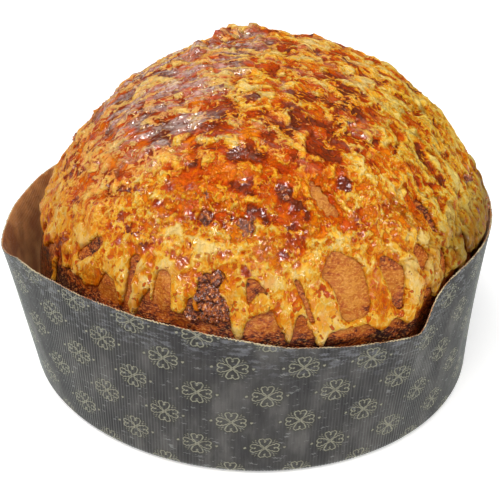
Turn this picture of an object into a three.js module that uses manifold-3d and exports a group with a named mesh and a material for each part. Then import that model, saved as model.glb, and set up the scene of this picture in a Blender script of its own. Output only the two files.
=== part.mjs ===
// Salted caramel panettone in its paper baking case, in millimetres with +Z up.
// The origin is the middle of the case's flat underside, and the side that is seen first faces -Y.
// Three solids: the paper case, the loaf with its domed crust, and the caramel poured over the dome.

import * as THREE from "three";
import { mergeVertices } from "three/addons/utils/BufferGeometryUtils.js";
import Module from "manifold-3d";

const wasm = await Module();
wasm.setup();

// Driving dimensions
const BASE_RADIUS = 107; // the case is a low one, about 210 mm across its base
const PAPER = 1.2; // fluted baking paper
const FOOT = 3.5; // rounding where the wall meets the base
const FLARE_POWER = 1.6; // the wall leans out mostly near its rim
const GAP = 0.4; // clear space between two pieces that touch
const LOAF_INSET = 0.6; // how far the loaf's flat facets stay inside that space
const RIM_SPREAD = 1.2; // how fast the dome may spread above the rim, per millimetre of height
const DOME_CENTRE = [5.5, 0]; // the loaf leans a little to the right of its case
const DOME_REACH = [108.5, 105.5]; // half widths of the loaf at its widest
const DOME_WAIST = 37.7; // height of the widest part
const DOME_RISE = 112.2; // from the widest part to the crown
const CARAMEL = 2.0; // thickness of the poured caramel
const THIN_EDGE = 0.12; // least thickness of the caramel, next to its outline
const CARAMEL_EDGE = 3.4; // distance over which its edge rounds down to the crust
const EDGE_HEIGHT = 22.5; // degrees up the dome where the caramel ends between its drips
const MERIDIAN = 108; // mean radius used to turn degrees up the dome into millimetres

// Stations of the case's rim: azimuth in degrees, reach from the axis, height
const RIM = [
  [-168, 119.2, 60], // left corner, which leans out furthest
  [-150, 114.5, 70],
  [-126, 110, 73],
  [-100, 108, 71],
  [-80, 108, 65.5],
  [-65, 109.5, 63.5],
  [-53, 112.5, 62.5], // lowest stretch, right of the front
  [-46, 109, 74.5], // the rim steps up past a crease in the wall
  [-36, 108, 79],
  [-15, 109, 78],
  [10, 111.5, 78.5],
  [45, 115, 74],
  [95, 117, 69],
  [140, 118.5, 65],
  [170, 118.5, 62],
];
const WALL_SWAY = 0.7; // gentle waves in the wall
const WALL_BELLY = 2; // how far the left side of the wall stands out at mid height

// Drips of caramel: azimuth, degrees up the dome where each starts and ends, half width in millimetres
const FRONT_DRIPS = [
  [-127.5, 27, 19.5, 2.6],
  [-123, 27, 16.3, 1.7],
  [-119.6, 27, 15.4, 2.4],
  [-110, 28, 18.8, 3.2],
  [-105.3, 27, 19.2, 1.6],
  [-95.4, 27, 14.6, 3.0],
  [-85, 27, 14.2, 3.0],
  [-81, 27, 17.8, 1.6],
  [-78, 28, 13.8, 3.2],
  [-74, 28, 18, 2.4],
  [-64.6, 28, 16.2, 3.4],
  [-59, 27, 16.4, 2.6],
  [-53, 27, 18, 3.0],
  [-47.5, 27, 19.2, 2.2],
  [-40.5, 27, 18.5, 3.6],
];

// Windows where crust shows through the caramel: two ends, each an azimuth, degrees up and a half width
const WINDOWS = [
  { from: [-72, 29.6, 5.5], to: [-70.2, 20.8, 7.6] }, // the largest, right of the front
  { from: [-62, 28.4, 2.2], to: [-58.6, 20.5, 2.6] },
  { from: [-47, 26, 2.4], to: [-44.8, 22.4, 3.4] },
  { from: [-52.6, 29.6, 2.0], to: [-51.6, 27.4, 2.6] },
  { from: [-103.4, 25.6, 5.6], to: [-101.2, 19.2, 7.6] }, // dark craggy lump at the front
  { from: [-115.1, 24.2, 2.6], to: [-114, 19.2, 4.4] },
  { from: [-123.4, 26, 1.2], to: [-122.2, 20, 1.5] },
  { from: [-92, 25.4, 2.2], to: [-90.4, 23.6, 3.0] },
  { from: [-83.6, 27, 1.5], to: [-81.4, 20.4, 1.7] },
  { from: [-142, 30, 2.6], to: [-141, 26.4, 3.6] },
  { from: [-152, 27, 3.0], to: [-151, 23, 4.4] },
  { from: [-58, 38, 1.6], to: [-55, 31.5, 2.8] },
  { from: [-46, 36, 1.6], to: [-43.5, 30.5, 2.6] },
  { from: [-78, 45, 2.4], to: [-74, 39, 3.4] },
];

// Crags of dark crust that stand in the windows: azimuth, degrees up, radius
const CRAGS = [
  [-105, 25.8, 2.2],
  [-102.2, 26.4, 3.0],
  [-103.9, 23.4, 2.8],
  [-101, 23, 3.2],
  [-105, 20.9, 2.0],
  [-102.4, 20.2, 3.4],
  [-99.4, 20.4, 2.6],
  [-100.6, 17.6, 2.2],
];

const CRUST_RELIEF = 0.16; // millimetres of each slow wave in the crust
const CRUST_WAVES = 7;
const GOLDEN_TURN = 2.39996; // radians between the directions of two waves

// Swells and hollows of the dome: place and half size in degrees, height in millimetres
const SWELLS = [
  { azimuth: 107, up: 65, halfTurn: 13, halfWidth: 5, height: 4 }, // fold of crust behind the crown
  { azimuth: 82, up: 63, halfTurn: 34, halfWidth: 12, height: -3 },
  { azimuth: 152, up: 42, halfTurn: 28, halfWidth: 16, height: -3 },
  { azimuth: 33, up: 46, halfTurn: 16, halfWidth: 10, height: -2 },
];

const CRAG_UNEVEN = 0.28; // share of a crag's radius by which its surface varies
const SIDE_DRIP_STEP = 8.5; // degrees between the drips of the sides and back
const SIDE_WINDOW_STEP = 17; // degrees between their windows
const DRIP_JOIN = 2.2; // rounding where drips run together, in millimetres
const WINDOW_JOIN = 1.4; // rounding at the rims of windows
const LAPS = { lower: 180, middle: 72, upper: 36, crown: 18 }; // columns round the dome, fewer as it closes
const CASE_COLUMNS = 90;
const SMOOTHING = { loaf: 0.22, caramel: 0.17 }; // facets stay this close to the fine grid they are merged from

const rad = THREE.MathUtils.degToRad;
const clamp = THREE.MathUtils.clamp;

// A repeatable random number from 0 to 1 for a whole number.
function scatter(n) {
  const x = Math.sin(n * 127.1 + 11.7) * 43758.5453;
  return x - Math.floor(x);
}

// Smooth value of one column of the rim's stations at an azimuth, round the whole circle.
function rimValue(azimuth, column) {
  const n = RIM.length;
  const at = (i) => RIM[((i % n) + n) % n][column];
  const turn = (i) => RIM[((i % n) + n) % n][0] + 360 * Math.floor(i / n);
  const az = THREE.MathUtils.euclideanModulo(azimuth - RIM[0][0], 360) + RIM[0][0];
  let i = 0;
  while (turn(i + 1) <= az) i += 1;
  const width = turn(i + 1) - turn(i);
  const t = (az - turn(i)) / width;
  const slope = (k) => (at(k + 1) - at(k - 1)) / (turn(k + 1) - turn(k - 1));
  const rise = at(i + 1) - at(i);
  const keep = (s) => (rise === 0 || s / rise < 0 ? 0 : clamp(s, -3 * Math.abs(rise / width), 3 * Math.abs(rise / width)));
  const m0 = keep(slope(i)) * width;
  const m1 = keep(slope(i + 1)) * width;
  const t2 = t * t;
  const t3 = t2 * t;
  return (2 * t3 - 3 * t2 + 1) * at(i) + (t3 - 2 * t2 + t) * m0 + (3 * t2 - 2 * t3) * at(i + 1) + (t3 - t2) * m1;
}

const rimHeight = (azimuth) => rimValue(azimuth, 2);

// Outer radius of the case's wall: a rounded foot, a nearly upright wall, and a flare towards the rim.
function wallRadius(azimuth, z) {
  const t = clamp(z / rimHeight(azimuth), 0, 1);
  const flare = (rimValue(azimuth, 1) - BASE_RADIUS) * t ** FLARE_POWER;
  const foot = FOOT - Math.sqrt(Math.max(FOOT ** 2 - Math.max(FOOT - z, 0) ** 2, 0));
  const belly = WALL_BELLY * Math.max(Math.cos(rad(azimuth + 165)), 0) ** 2;
  const sway = WALL_SWAY * Math.sin(rad(7 * azimuth + 40)) + belly;
  return BASE_RADIUS + flare - foot + sway * Math.sin(Math.PI * t);
}

// Low lumps of the risen crust, as a sum of slow waves over its surface.
function crustRelief(x, y, z) {
  let sum = 0;
  for (let i = 0; i < CRUST_WAVES; i += 1) {
    const up = 1 - (2 * i + 1) / CRUST_WAVES;
    const turn = i * GOLDEN_TURN;
    const side = Math.sqrt(1 - up * up);
    const pitch = 0.07 + 0.013 * i;
    const along = side * Math.cos(turn) * x + side * Math.sin(turn) * y + 1.6 * up * z;
    sum += Math.sin(pitch * along + 1.7 * i);
  }
  return CRUST_RELIEF * sum;
}

// Height of the dome's swells and hollows at a place.
function domeSwell(azimuth, up) {
  return SWELLS.reduce((sum, swell) => {
    const turn = THREE.MathUtils.euclideanModulo(azimuth - swell.azimuth + 180, 360) - 180;
    const across = (up - swell.up) / swell.halfWidth;
    return sum + swell.height * Math.exp(-((turn / swell.halfTurn) ** 2) - across ** 2);
  }, 0);
}

// The point of the loaf's surface at an azimuth and a number of degrees up the dome.
function crustPoint(azimuth, up) {
  const c = Math.cos(rad(azimuth));
  const s = Math.sin(rad(azimuth));
  const z = DOME_WAIST + DOME_RISE * Math.sin(rad(up));
  const spread = Math.cos(rad(up));
  const p = new THREE.Vector3(
    DOME_CENTRE[0] + DOME_REACH[0] * spread * c,
    DOME_CENTRE[1] + DOME_REACH[1] * spread * s,
    z,
  );
  const out = new THREE.Vector3(c * spread, s * spread, Math.sin(rad(up)));
  const free = THREE.MathUtils.smoothstep(up, 8, 24);
  p.addScaledVector(out, free * crustRelief(p.x, p.y, p.z) + domeSwell(azimuth, up));
  return insideCase(p, LOAF_INSET + (CARAMEL + GAP) * THREE.MathUtils.smoothstep(p.z, 44, 56));
}

// Draws a point in until it is clear of the paper wrapped round it, by a given inset beyond the gap.
function insideCase(p, inset) {
  const azimuth = THREE.MathUtils.radToDeg(Math.atan2(p.y, p.x));
  const over = p.z - rimHeight(azimuth);
  const room = wallRadius(azimuth, p.z) - PAPER - GAP - inset + Math.max(over - 1, 0) * RIM_SPREAD;
  const reach = Math.hypot(p.x, p.y);
  if (reach > room) {
    p.x *= room / reach;
    p.y *= room / reach;
  }
  return p;
}

// Closed geometry from a list of points and triangles.
function solidGeometry(points, faces) {
  const g = new THREE.BufferGeometry();
  g.setAttribute("position", new THREE.Float32BufferAttribute(points.flatMap((p) => [p.x, p.y, p.z]), 3));
  g.setIndex(faces.flat());
  return g;
}

// Joins two rings of points, which may differ in how many they hold, with triangles that face out.
function stitch(faces, low, high) {
  let i = 0;
  let j = 0;
  while (i < low.length || j < high.length) {
    const a = low[i % low.length];
    const b = high[j % high.length];
    if (j === high.length || (i < low.length && (i + 1) / low.length <= (j + 1) / high.length)) {
      faces.push([a, low[(i + 1) % low.length], b]);
      i += 1;
    } else {
      faces.push([a, high[(j + 1) % high.length], b]);
      j += 1;
    }
  }
}

// Stacks rings of points into one skin. A ring of one point is a pole.
function skin(rings) {
  const points = [];
  const faces = [];
  const index = rings.map((ring) => ring.map((p) => points.push(p) - 1));
  for (let k = 0; k + 1 < index.length; k += 1) {
    const low = index[k];
    const high = index[k + 1];
    if (low.length === 1) high.forEach((v, i) => faces.push([low[0], high[(i + 1) % high.length], v]));
    else if (high.length === 1) low.forEach((v, i) => faces.push([v, low[(i + 1) % low.length], high[0]]));
    else stitch(faces, low, high);
  }
  return { points, faces };
}

// A ring of points round the axis, from a function of azimuth.
function ring(count, pointAt) {
  return Array.from({ length: count }, (_, i) => pointAt((360 * i) / count - 180));
}

// The paper case: outside from the middle of its underside to the rim, then down the inside.
function caseGeometry() {
  const polar = (azimuth, r, z) => new THREE.Vector3(r * Math.cos(rad(azimuth)), r * Math.sin(rad(azimuth)), z);
  const foot = [0.35, 1].map((share) => (azimuth) => {
    const z = FOOT * share;
    return polar(azimuth, wallRadius(azimuth, z), z);
  });
  const levels = [0.3, 0.6, 0.85, 1];
  const wall = (thickness) => levels.map((t) => (azimuth) => {
    const z = rimHeight(azimuth) * t;
    return polar(azimuth, wallRadius(azimuth, z) - thickness, z);
  });
  const flat = (azimuth) => polar(azimuth, BASE_RADIUS - FOOT, 0);
  const corner = (azimuth) => polar(azimuth, BASE_RADIUS - FOOT - PAPER, PAPER);
  const heel = (azimuth) => polar(azimuth, wallRadius(azimuth, FOOT) - PAPER, FOOT + PAPER);
  const rings = [flat, ...foot, ...wall(0), ...wall(PAPER).reverse(), heel, corner];
  const { points, faces } = skin([
    [new THREE.Vector3(0, 0, 0)],
    ...rings.map((pointAt) => ring(CASE_COLUMNS, pointAt)),
    [new THREE.Vector3(0, 0, PAPER)],
  ]);
  return solidGeometry(points, faces);
}

// Degrees up the dome of each ring, with its number of columns, thinning out towards the crown.
function domeRings() {
  const bands = [
    { from: 12, to: 31, rows: 10, count: LAPS.lower },
    { from: 34.5, to: 55, rows: 6, count: LAPS.middle },
    { from: 60, to: 73, rows: 3, count: LAPS.upper },
    { from: 80, to: 80, rows: 1, count: LAPS.crown },
  ];
  return bands.flatMap(({ from, to, rows, count }) =>
    Array.from({ length: rows }, (_, i) => ({ up: from + ((to - from) * i) / Math.max(rows - 1, 1), count })),
  );
}

// The dome's own skin, which the loaf and the underside of the caramel share.
function domeSkin() {
  const rings = domeRings().map(({ up, count }) => ring(count, (azimuth) => crustPoint(azimuth, up)));
  return skin([...rings, [crustPoint(0, 90)]]);
}

// The loaf: a flat bottom, sides that follow the case, and the dome.
function loafGeometry() {
  const bottom = PAPER + GAP;
  const heights = [bottom, 8, 24];
  const sides = heights.map((z) =>
    ring(LAPS.middle, (azimuth) => {
      const p = crustPoint(azimuth, 0);
      p.z = z;
      if (z < FOOT) {
        p.x = (BASE_RADIUS - FOOT - PAPER - 1) * Math.cos(rad(azimuth));
        p.y = (BASE_RADIUS - FOOT - PAPER - 1) * Math.sin(rad(azimuth));
      }
      return insideCase(p, LOAF_INSET);
    }),
  );
  const waist = [0, 6].map((up) => ring(LAPS.middle, (azimuth) => crustPoint(azimuth, up)));
  const dome = domeRings().map(({ up, count }) => ring(count, (azimuth) => crustPoint(azimuth, up)));
  const { points, faces } = skin([
    [new THREE.Vector3(0, 0, bottom)],
    ...sides,
    ...waist,
    ...dome,
    [crustPoint(0, 90)],
  ]);
  return solidGeometry(points, faces);
}

// Distance in millimetres from a point to the line between two places on the dome, and how far along it lies.
function nearLine(p, from, to) {
  const a = crustPoint(from[0], from[1]);
  const b = crustPoint(to[0], to[1]);
  const run = b.clone().sub(a);
  const t = clamp(p.clone().sub(a).dot(run) / run.lengthSq(), 0, 1);
  return { distance: p.distanceTo(a.addScaledVector(run, t)), t };
}

const softMax = (a, b, width) => {
  const h = clamp(0.5 + (0.5 * (a - b)) / width, 0, 1);
  return b + (a - b) * h + width * h * (1 - h);
};

// Drips of the sides and back, which repeat the front's by a rule.
function sideDrips() {
  const drips = [];
  for (let azimuth = -33, n = 0; azimuth < 226; azimuth += SIDE_DRIP_STEP, n += 1) {
    const lean = 3.4 * (scatter(n) - 0.5);
    drips.push([azimuth + lean, 27, 14.5 + 6 * scatter(n + 50), 1.8 + 1.8 * scatter(n + 90)]);
  }
  return drips;
}

function sideWindows() {
  const windows = [];
  for (let azimuth = -30, n = 0; azimuth < 205; azimuth += SIDE_WINDOW_STEP, n += 1) {
    const top = 26 + 16 * scatter(n + 200);
    const long = 3 + 5 * scatter(n + 230);
    const shift = 9 * (scatter(n + 260) - 0.5);
    windows.push({
      from: [azimuth + shift, top, 1.6 + 2 * scatter(n + 290)],
      to: [azimuth + shift + 1.5, top - long, 2.4 + 2.6 * scatter(n + 320)],
    });
  }
  return windows;
}

// How far a point of the dome lies inside the caramel's outline, in millimetres: negative where crust shows.
function caramelDepth(p, azimuth, up, drips, windows) {
  const wave = 1.3 * Math.sin(rad(11 * azimuth)) + 0.9 * Math.sin(rad(23 * azimuth + 50));
  let depth = rad(up - EDGE_HEIGHT - wave) * MERIDIAN;
  for (const [at, top, end, half] of drips) {
    const { distance, t } = nearLine(p, [at, top], [at, end + 0.5]);
    const bead = half * (1.15 - 0.35 * Math.sin(Math.PI * Math.min(t * 1.15, 1)));
    depth = softMax(depth, bead - distance, DRIP_JOIN);
  }
  for (const { from, to } of windows) {
    const { distance, t } = nearLine(p, from, to);
    const half = from[2] + (to[2] - from[2]) * t;
    depth = -softMax(-depth, half - distance, WINDOW_JOIN);
  }
  return depth;
}

// The caramel: the part of the dome's skin inside its outline, thickened outwards.
// Its outer and inner skins meet along the outline, where each triangle that crosses it is cut.
function caramelGeometry() {
  const drips = [...FRONT_DRIPS, ...sideDrips()];
  const windows = [...WINDOWS, ...sideWindows()];
  const { points, faces } = domeSkin();
  const middle = new THREE.Vector3(DOME_CENTRE[0], DOME_CENTRE[1], DOME_WAIST);
  const depth = points.map((p) => {
    const away = p.clone().sub(middle);
    const up = THREE.MathUtils.radToDeg(Math.asin(clamp(away.z / DOME_RISE, -1, 1)));
    const azimuth = THREE.MathUtils.radToDeg(Math.atan2(away.y, away.x));
    const d = caramelDepth(p, azimuth, up, drips, windows);
    return Math.abs(d) < 0.05 ? 0.05 : d;
  });
  const dome = solidGeometry(points, faces);
  dome.computeVertexNormals();
  const normals = dome.getAttribute("normal");
  const lift = (i, by) => points[i].clone().addScaledVector(new THREE.Vector3().fromBufferAttribute(normals, i), by);
  const cover = (d) => CARAMEL * Math.sqrt(1 - (1 - clamp(d / CARAMEL_EDGE, 0, 1)) ** 2);
  const under = points.map((_, i) => lift(i, GAP));
  const over = points.map((_, i) => insideCase(lift(i, GAP + THIN_EDGE + cover(depth[i])), LOAF_INSET));

  const out = [];
  const solid = [];
  const slot = new Map();
  const vertex = (key, make) => {
    if (!slot.has(key)) slot.set(key, out.push(make()) - 1);
    return slot.get(key);
  };
  const edge = (a, b) => {
    const [i, j] = a < b ? [a, b] : [b, a];
    const t = depth[i] / (depth[i] - depth[j]);
    return vertex(`e${i}_${j}`, () => under[i].clone().lerp(under[j], t));
  };
  const sides = [
    (i) => vertex(`o${i}`, () => over[i]),
    (i) => vertex(`u${i}`, () => under[i]),
  ];
  for (const face of faces) {
    const inside = face.filter((i) => depth[i] > 0).length;
    if (inside === 0) continue;
    const turn = face.findIndex((i, k) => {
      const next = face[(k + 1) % 3];
      const last = face[(k + 2) % 3];
      return inside === 1 ? depth[i] > 0 : inside === 2 && depth[i] <= 0 && depth[next] > 0 && depth[last] > 0;
    });
    const [a, b, c] = turn < 0 ? face : [0, 1, 2].map((k) => face[(turn + k) % 3]);
    sides.forEach((at, side) => {
      const pieces = [];
      if (inside === 3) pieces.push([at(a), at(b), at(c)]);
      if (inside === 1) pieces.push([at(a), edge(a, b), edge(a, c)]);
      if (inside === 2) pieces.push([edge(a, b), at(b), at(c)], [edge(a, b), at(c), edge(a, c)]);
      pieces.forEach(([p, q, r]) => solid.push(side === 0 ? [p, q, r] : [p, r, q]));
    });
  }
  return solidGeometry(out, solid);
}

// A closed geometry as a manifold-3d solid.
function toSolid(geometry) {
  const bare = geometry.index ? geometry.toNonIndexed() : geometry.clone();
  bare.deleteAttribute("normal");
  bare.deleteAttribute("uv");
  const merged = mergeVertices(bare, 1e-4);
  return new wasm.Manifold(
    new wasm.Mesh({
      numProp: 3,
      vertProperties: new Float32Array(merged.attributes.position.array),
      triVerts: new Uint32Array(merged.index.array),
    }),
  );
}

function toGeometry(solid) {
  const mesh = solid.getMesh();
  const position = new Float32Array(mesh.numVert * 3);
  for (let i = 0; i < mesh.numVert; i += 1) {
    position.set(mesh.vertProperties.subarray(i * mesh.numProp, i * mesh.numProp + 3), i * 3);
  }
  const g = new THREE.BufferGeometry();
  g.setAttribute("position", new THREE.BufferAttribute(position, 3));
  g.setIndex(new THREE.BufferAttribute(mesh.triVerts, 1));
  return g;
}

// One dark crag of crust, an uneven lump swollen by a given amount.
function cragSolid([azimuth, up, radius], n, swell) {
  const crag = new THREE.IcosahedronGeometry(1, 1);
  const position = crag.getAttribute("position");
  const v = new THREE.Vector3();
  for (let i = 0; i < position.count; i += 1) {
    v.fromBufferAttribute(position, i);
    const uneven = 1 + CRAG_UNEVEN * Math.sin(4 * v.x + 3 * v.y + 5 * v.z + 2 * n);
    v.multiplyScalar(radius * uneven + swell);
    position.setXYZ(i, v.x, v.y, v.z);
  }
  const p = crustPoint(azimuth, up);
  crag.translate(p.x, p.y, p.z);
  return toSolid(crag);
}

// The loaf with its dark crags fused on.
function craggyLoaf() {
  let loaf = toSolid(loafGeometry());
  CRAGS.forEach((crag, n) => {
    loaf = loaf.add(cragSolid(crag, n, 0));
  });
  return toGeometry(loaf.simplify(SMOOTHING.loaf));
}

// The caramel, clear of the crags, without the loose scraps that its outline cuts off.
function wholeCaramel() {
  let caramel = toSolid(caramelGeometry());
  CRAGS.forEach((crag, n) => {
    caramel = caramel.subtract(cragSolid(crag, n, GAP));
  });
  const parts = caramel.simplify(SMOOTHING.caramel).decompose();
  parts.sort((a, b) => b.volume() - a.volume());
  return toGeometry(parts[0]);
}

function mesh(name, geometry, color, roughness) {
  geometry.computeVertexNormals();
  const made = new THREE.Mesh(geometry, new THREE.MeshStandardMaterial({ color, roughness, metalness: 0 }));
  made.name = name;
  return made;
}

const panettone = new THREE.Group();
panettone.add(mesh("paper_case", caseGeometry(), 0x3b3536, 0.75));
panettone.add(mesh("loaf", craggyLoaf(), 0xa0642f, 0.65));
panettone.add(mesh("caramel_glaze", wholeCaramel(), 0xe0a030, 0.3));

export default panettone;
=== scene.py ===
# %% [markdown]
# # A salted caramel panettone in its paper case
# A panettone is baked, cooled and only then iced, so there are three things to build, in the order in which
# a baker meets them: the paper case, the loaf that rose in it, and the caramel poured over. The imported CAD
# model gives the frame: it holds the same three pieces as plain solids, at real size. Each piece here is a
# finer one in the same place, and it stands for its solid in the render.

import math
from functools import reduce

import bpy
import numpy as np
from mathutils import Matrix, Vector, noise


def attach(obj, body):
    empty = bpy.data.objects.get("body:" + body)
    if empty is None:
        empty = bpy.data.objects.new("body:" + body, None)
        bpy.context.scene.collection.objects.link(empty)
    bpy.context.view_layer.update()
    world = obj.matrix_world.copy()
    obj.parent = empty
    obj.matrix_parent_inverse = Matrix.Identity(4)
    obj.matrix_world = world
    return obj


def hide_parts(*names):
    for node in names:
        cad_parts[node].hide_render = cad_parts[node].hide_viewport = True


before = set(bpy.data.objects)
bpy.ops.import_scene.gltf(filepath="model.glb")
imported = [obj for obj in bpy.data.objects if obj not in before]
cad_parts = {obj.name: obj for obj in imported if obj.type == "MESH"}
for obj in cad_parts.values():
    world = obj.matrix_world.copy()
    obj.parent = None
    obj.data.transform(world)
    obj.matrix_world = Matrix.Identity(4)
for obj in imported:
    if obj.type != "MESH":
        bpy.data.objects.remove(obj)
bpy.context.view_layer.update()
print("nodes in the frame:", sorted(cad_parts))

# %% [markdown]
# ## The forms that the pieces share
# The case, the loaf and the caramel all follow the same few curves, so the curves come first. Lengths are in
# millimetres here and become metres when a mesh is made. A place on the dome is an azimuth round the axis and
# a number of degrees up from the widest part of the loaf. Writing the forms as functions, and not as modelled
# meshes, lets the caramel ask where the crust is, and lets the crust ask where the paper is.

# %% The rim of the case
MM = 0.001
BASE_RADIUS = 107.0
PAPER = 1.2
FOOT = 3.5
FLARE_POWER = 1.6
WALL_SWAY, SWAYS_ROUND, SWAY_START = 0.7, 7, 40
WALL_BELLY, BELLY_AT = 2.0, -165
FRONT = -90

# azimuth in degrees, reach from the axis, height
RIM = np.array([
    [-168, 119.2, 60], [-150, 114.5, 70], [-126, 110, 73], [-100, 108, 71], [-80, 108, 65.5],
    [-65, 109.5, 63.5], [-53, 112.5, 62.5], [-46, 109, 74.5], [-36, 108, 79], [-15, 109, 78],
    [10, 111.5, 78.5], [45, 115, 74], [95, 117, 69], [140, 118.5, 65], [170, 118.5, 62],
])


def rim_value(azimuth, column):
    """A smooth value of one column of the rim's stations, round the whole circle."""
    turn = np.concatenate([RIM[-2:, 0] - 360, RIM[:, 0], RIM[:2, 0] + 360])
    value = np.concatenate([RIM[-2:, column], RIM[:, column], RIM[:2, column]])
    az = (np.asarray(azimuth, float) - RIM[0, 0]) % 360 + RIM[0, 0]
    i = np.searchsorted(turn, az, side="right") - 1
    width = turn[i + 1] - turn[i]
    rise = value[i + 1] - value[i]
    t = (az - turn[i]) / width

    def slope(k):
        s = (value[k + 1] - value[k - 1]) / (turn[k + 1] - turn[k - 1])
        steepest = 3 * np.abs(rise / width)
        return np.where(s * rise <= 0, 0, np.clip(s, -steepest, steepest)) * width

    cubic = (2 * t**3 - 3 * t**2 + 1) * value[i] + (3 * t**2 - 2 * t**3) * value[i + 1]
    return cubic + (t**3 - 2 * t**2 + t) * slope(i) + (t**3 - t**2) * slope(i + 1)


def rim_height(azimuth):
    return rim_value(azimuth, 2)


def wall_radius(azimuth, z):
    """Outer radius of the paper wall: a rounded foot, a nearly upright wall and a flare at the rim."""
    t = np.clip(z / rim_height(azimuth), 0, 1)
    flare = (rim_value(azimuth, 1) - BASE_RADIUS) * t**FLARE_POWER
    foot = FOOT - np.sqrt(np.maximum(FOOT**2 - np.maximum(FOOT - z, 0) ** 2, 0))
    belly = WALL_BELLY * np.maximum(np.cos(np.radians(azimuth - BELLY_AT)), 0) ** 2
    sway = WALL_SWAY * np.sin(np.radians(SWAYS_ROUND * azimuth + SWAY_START)) + belly
    return BASE_RADIUS + flare - foot + sway * np.sin(np.pi * t)


print("rim height in front:", round(float(rim_height(FRONT)), 1), "mm")

# %% The dome of the loaf
GAP = 0.4
LOAF_INSET = 0.6
RIM_SPREAD = 1.2
DOME_CENTRE = np.array([5.5, 0.0, 37.7])
DOME_SIZE = np.array([108.5, 105.5, 112.2])
CARAMEL = 2.0
CARAMEL_STARTS = (44, 56)
CRUST_RELIEF = 0.16
CRUST_WAVES = 7
WAVE_START, WAVE_STEP, WAVE_SHIFT = 0.07, 0.013, 1.7
LEVEL_SQUEEZE = 1.6
GOLDEN_TURN = 2.39996

# azimuth, degrees up, half size round, half size up, height
SWELLS = [(107, 65, 13, 5, 4.0), (82, 63, 34, 12, -3.0), (152, 42, 28, 16, -3.0), (33, 46, 16, 10, -2.0)]


def smoothstep(x, low, high):
    """A smooth rise from 0 at low to 1 at high, or a fall where low is the larger."""
    t = np.clip((x - low) / (high - low), 0, 1)
    return t * t * (3 - 2 * t)


def plateau(x, start, full, fade, end):
    """1 from full to fade, and 0 before start and after end."""
    return smoothstep(x, start, full) * smoothstep(x, end, fade)


def turn_between(azimuth, other):
    return (azimuth - other + 180) % 360 - 180


def unit(vectors):
    return vectors / np.linalg.norm(vectors, axis=-1, keepdims=True)


def direction(azimuth, up=0.0):
    """Vectors of length 1 towards an azimuth and a number of degrees up."""
    a, u = np.broadcast_arrays(np.radians(azimuth), np.radians(up))
    return np.stack([np.cos(u) * np.cos(a), np.cos(u) * np.sin(a), np.sin(u)], -1)


def inside_case(p, inset):
    """Draws points in until they are clear of the paper that is wrapped round them."""
    azimuth = np.degrees(np.arctan2(p[..., 1], p[..., 0]))
    over = np.maximum(p[..., 2] - rim_height(azimuth) - 1, 0)
    room = wall_radius(azimuth, p[..., 2]) - PAPER - GAP - inset + over * RIM_SPREAD
    reach = np.hypot(p[..., 0], p[..., 1])
    p[..., :2] *= np.minimum(room / np.maximum(reach, 1e-6), 1)[..., None]
    return p


def crust_point(azimuth, up):
    """Points of the loaf's surface, in millimetres."""
    out = direction(azimuth, up)
    p = DOME_CENTRE + DOME_SIZE * out
    relief = 0
    for i in range(CRUST_WAVES):
        lift = 1 - (2 * i + 1) / CRUST_WAVES
        side = math.sqrt(1 - lift * lift)
        turn = i * GOLDEN_TURN
        along = side * math.cos(turn) * p[..., 0] + side * math.sin(turn) * p[..., 1]
        along = along + LEVEL_SQUEEZE * lift * p[..., 2]
        relief = relief + np.sin((WAVE_START + WAVE_STEP * i) * along + WAVE_SHIFT * i)
    relief = relief * CRUST_RELIEF * smoothstep(up, 8, 24)
    for at, high, round_it, over_it, height in SWELLS:
        bell = -((turn_between(azimuth, at) / round_it) ** 2) - ((up - high) / over_it) ** 2
        relief = relief + height * np.exp(bell)
    p = p + out * relief[..., None]
    return inside_case(p, LOAF_INSET + (CARAMEL + GAP) * smoothstep(p[..., 2], *CARAMEL_STARTS))


print("crown of the loaf:", crust_point(0.0, 90.0).round(1))

# %% [markdown]
# ## Skins made of rings
# All three pieces are round, so each is a stack of rings of points. A ring near the crown is short and needs
# few points, and one at the waist is long and needs many, so two neighbouring rings may hold different
# numbers. The stitching below goes round both at once and makes triangles of nearly one size, which a plain
# grid of columns can't: its triangles would crowd into slivers at the pole.

# %% Rings and meshes
MERIDIAN = 108.0
FEWEST_COLUMNS = 12
SEED_STEP = (17.31, 5.17, 9.73)


def stitch(low, high):
    """Triangles between two rings of point numbers, facing out when the second ring is the upper one."""
    n, m = len(low), len(high)
    share = np.concatenate([np.arange(1, n + 1) / n, np.arange(1, m + 1) / m + 1e-9])
    on_high = (np.arange(n + m) >= n)[np.argsort(share, kind="stable")]
    i = np.cumsum(~on_high) - ~on_high
    j = np.cumsum(on_high) - on_high
    third = np.where(on_high, high[(j + 1) % m], low[(i + 1) % n])
    return np.stack([low[i % n], third, high[j % m]], 1)


def stack_rings(counts):
    """Azimuths and ring numbers of all points, and the triangles between rings. A count of 1 is a pole."""
    start = np.concatenate([[0], np.cumsum(counts)])
    rings = [np.arange(start[k], start[k + 1]) for k in range(len(counts))]
    azimuth = np.concatenate([360 * np.arange(n) / n - 180 for n in counts])
    level = np.repeat(np.arange(len(counts)), counts)
    faces = []
    for low, high in zip(rings, rings[1:]):
        if len(low) == 1:
            faces.append(np.stack([np.full(len(high), low[0]), np.roll(high, -1), high], 1))
        elif len(high) == 1:
            faces.append(np.stack([low, np.roll(low, -1), np.full(len(low), high[0])], 1))
        else:
            faces.append(stitch(low, high))
    return azimuth, level, np.concatenate(faces)


def columns_at(up, spacing):
    """How many points a ring of the dome needs for a distance between them in millimetres."""
    around = 2 * math.pi * MERIDIAN * math.cos(math.radians(up))
    return max(FEWEST_COLUMNS, round(around / spacing))


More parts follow.
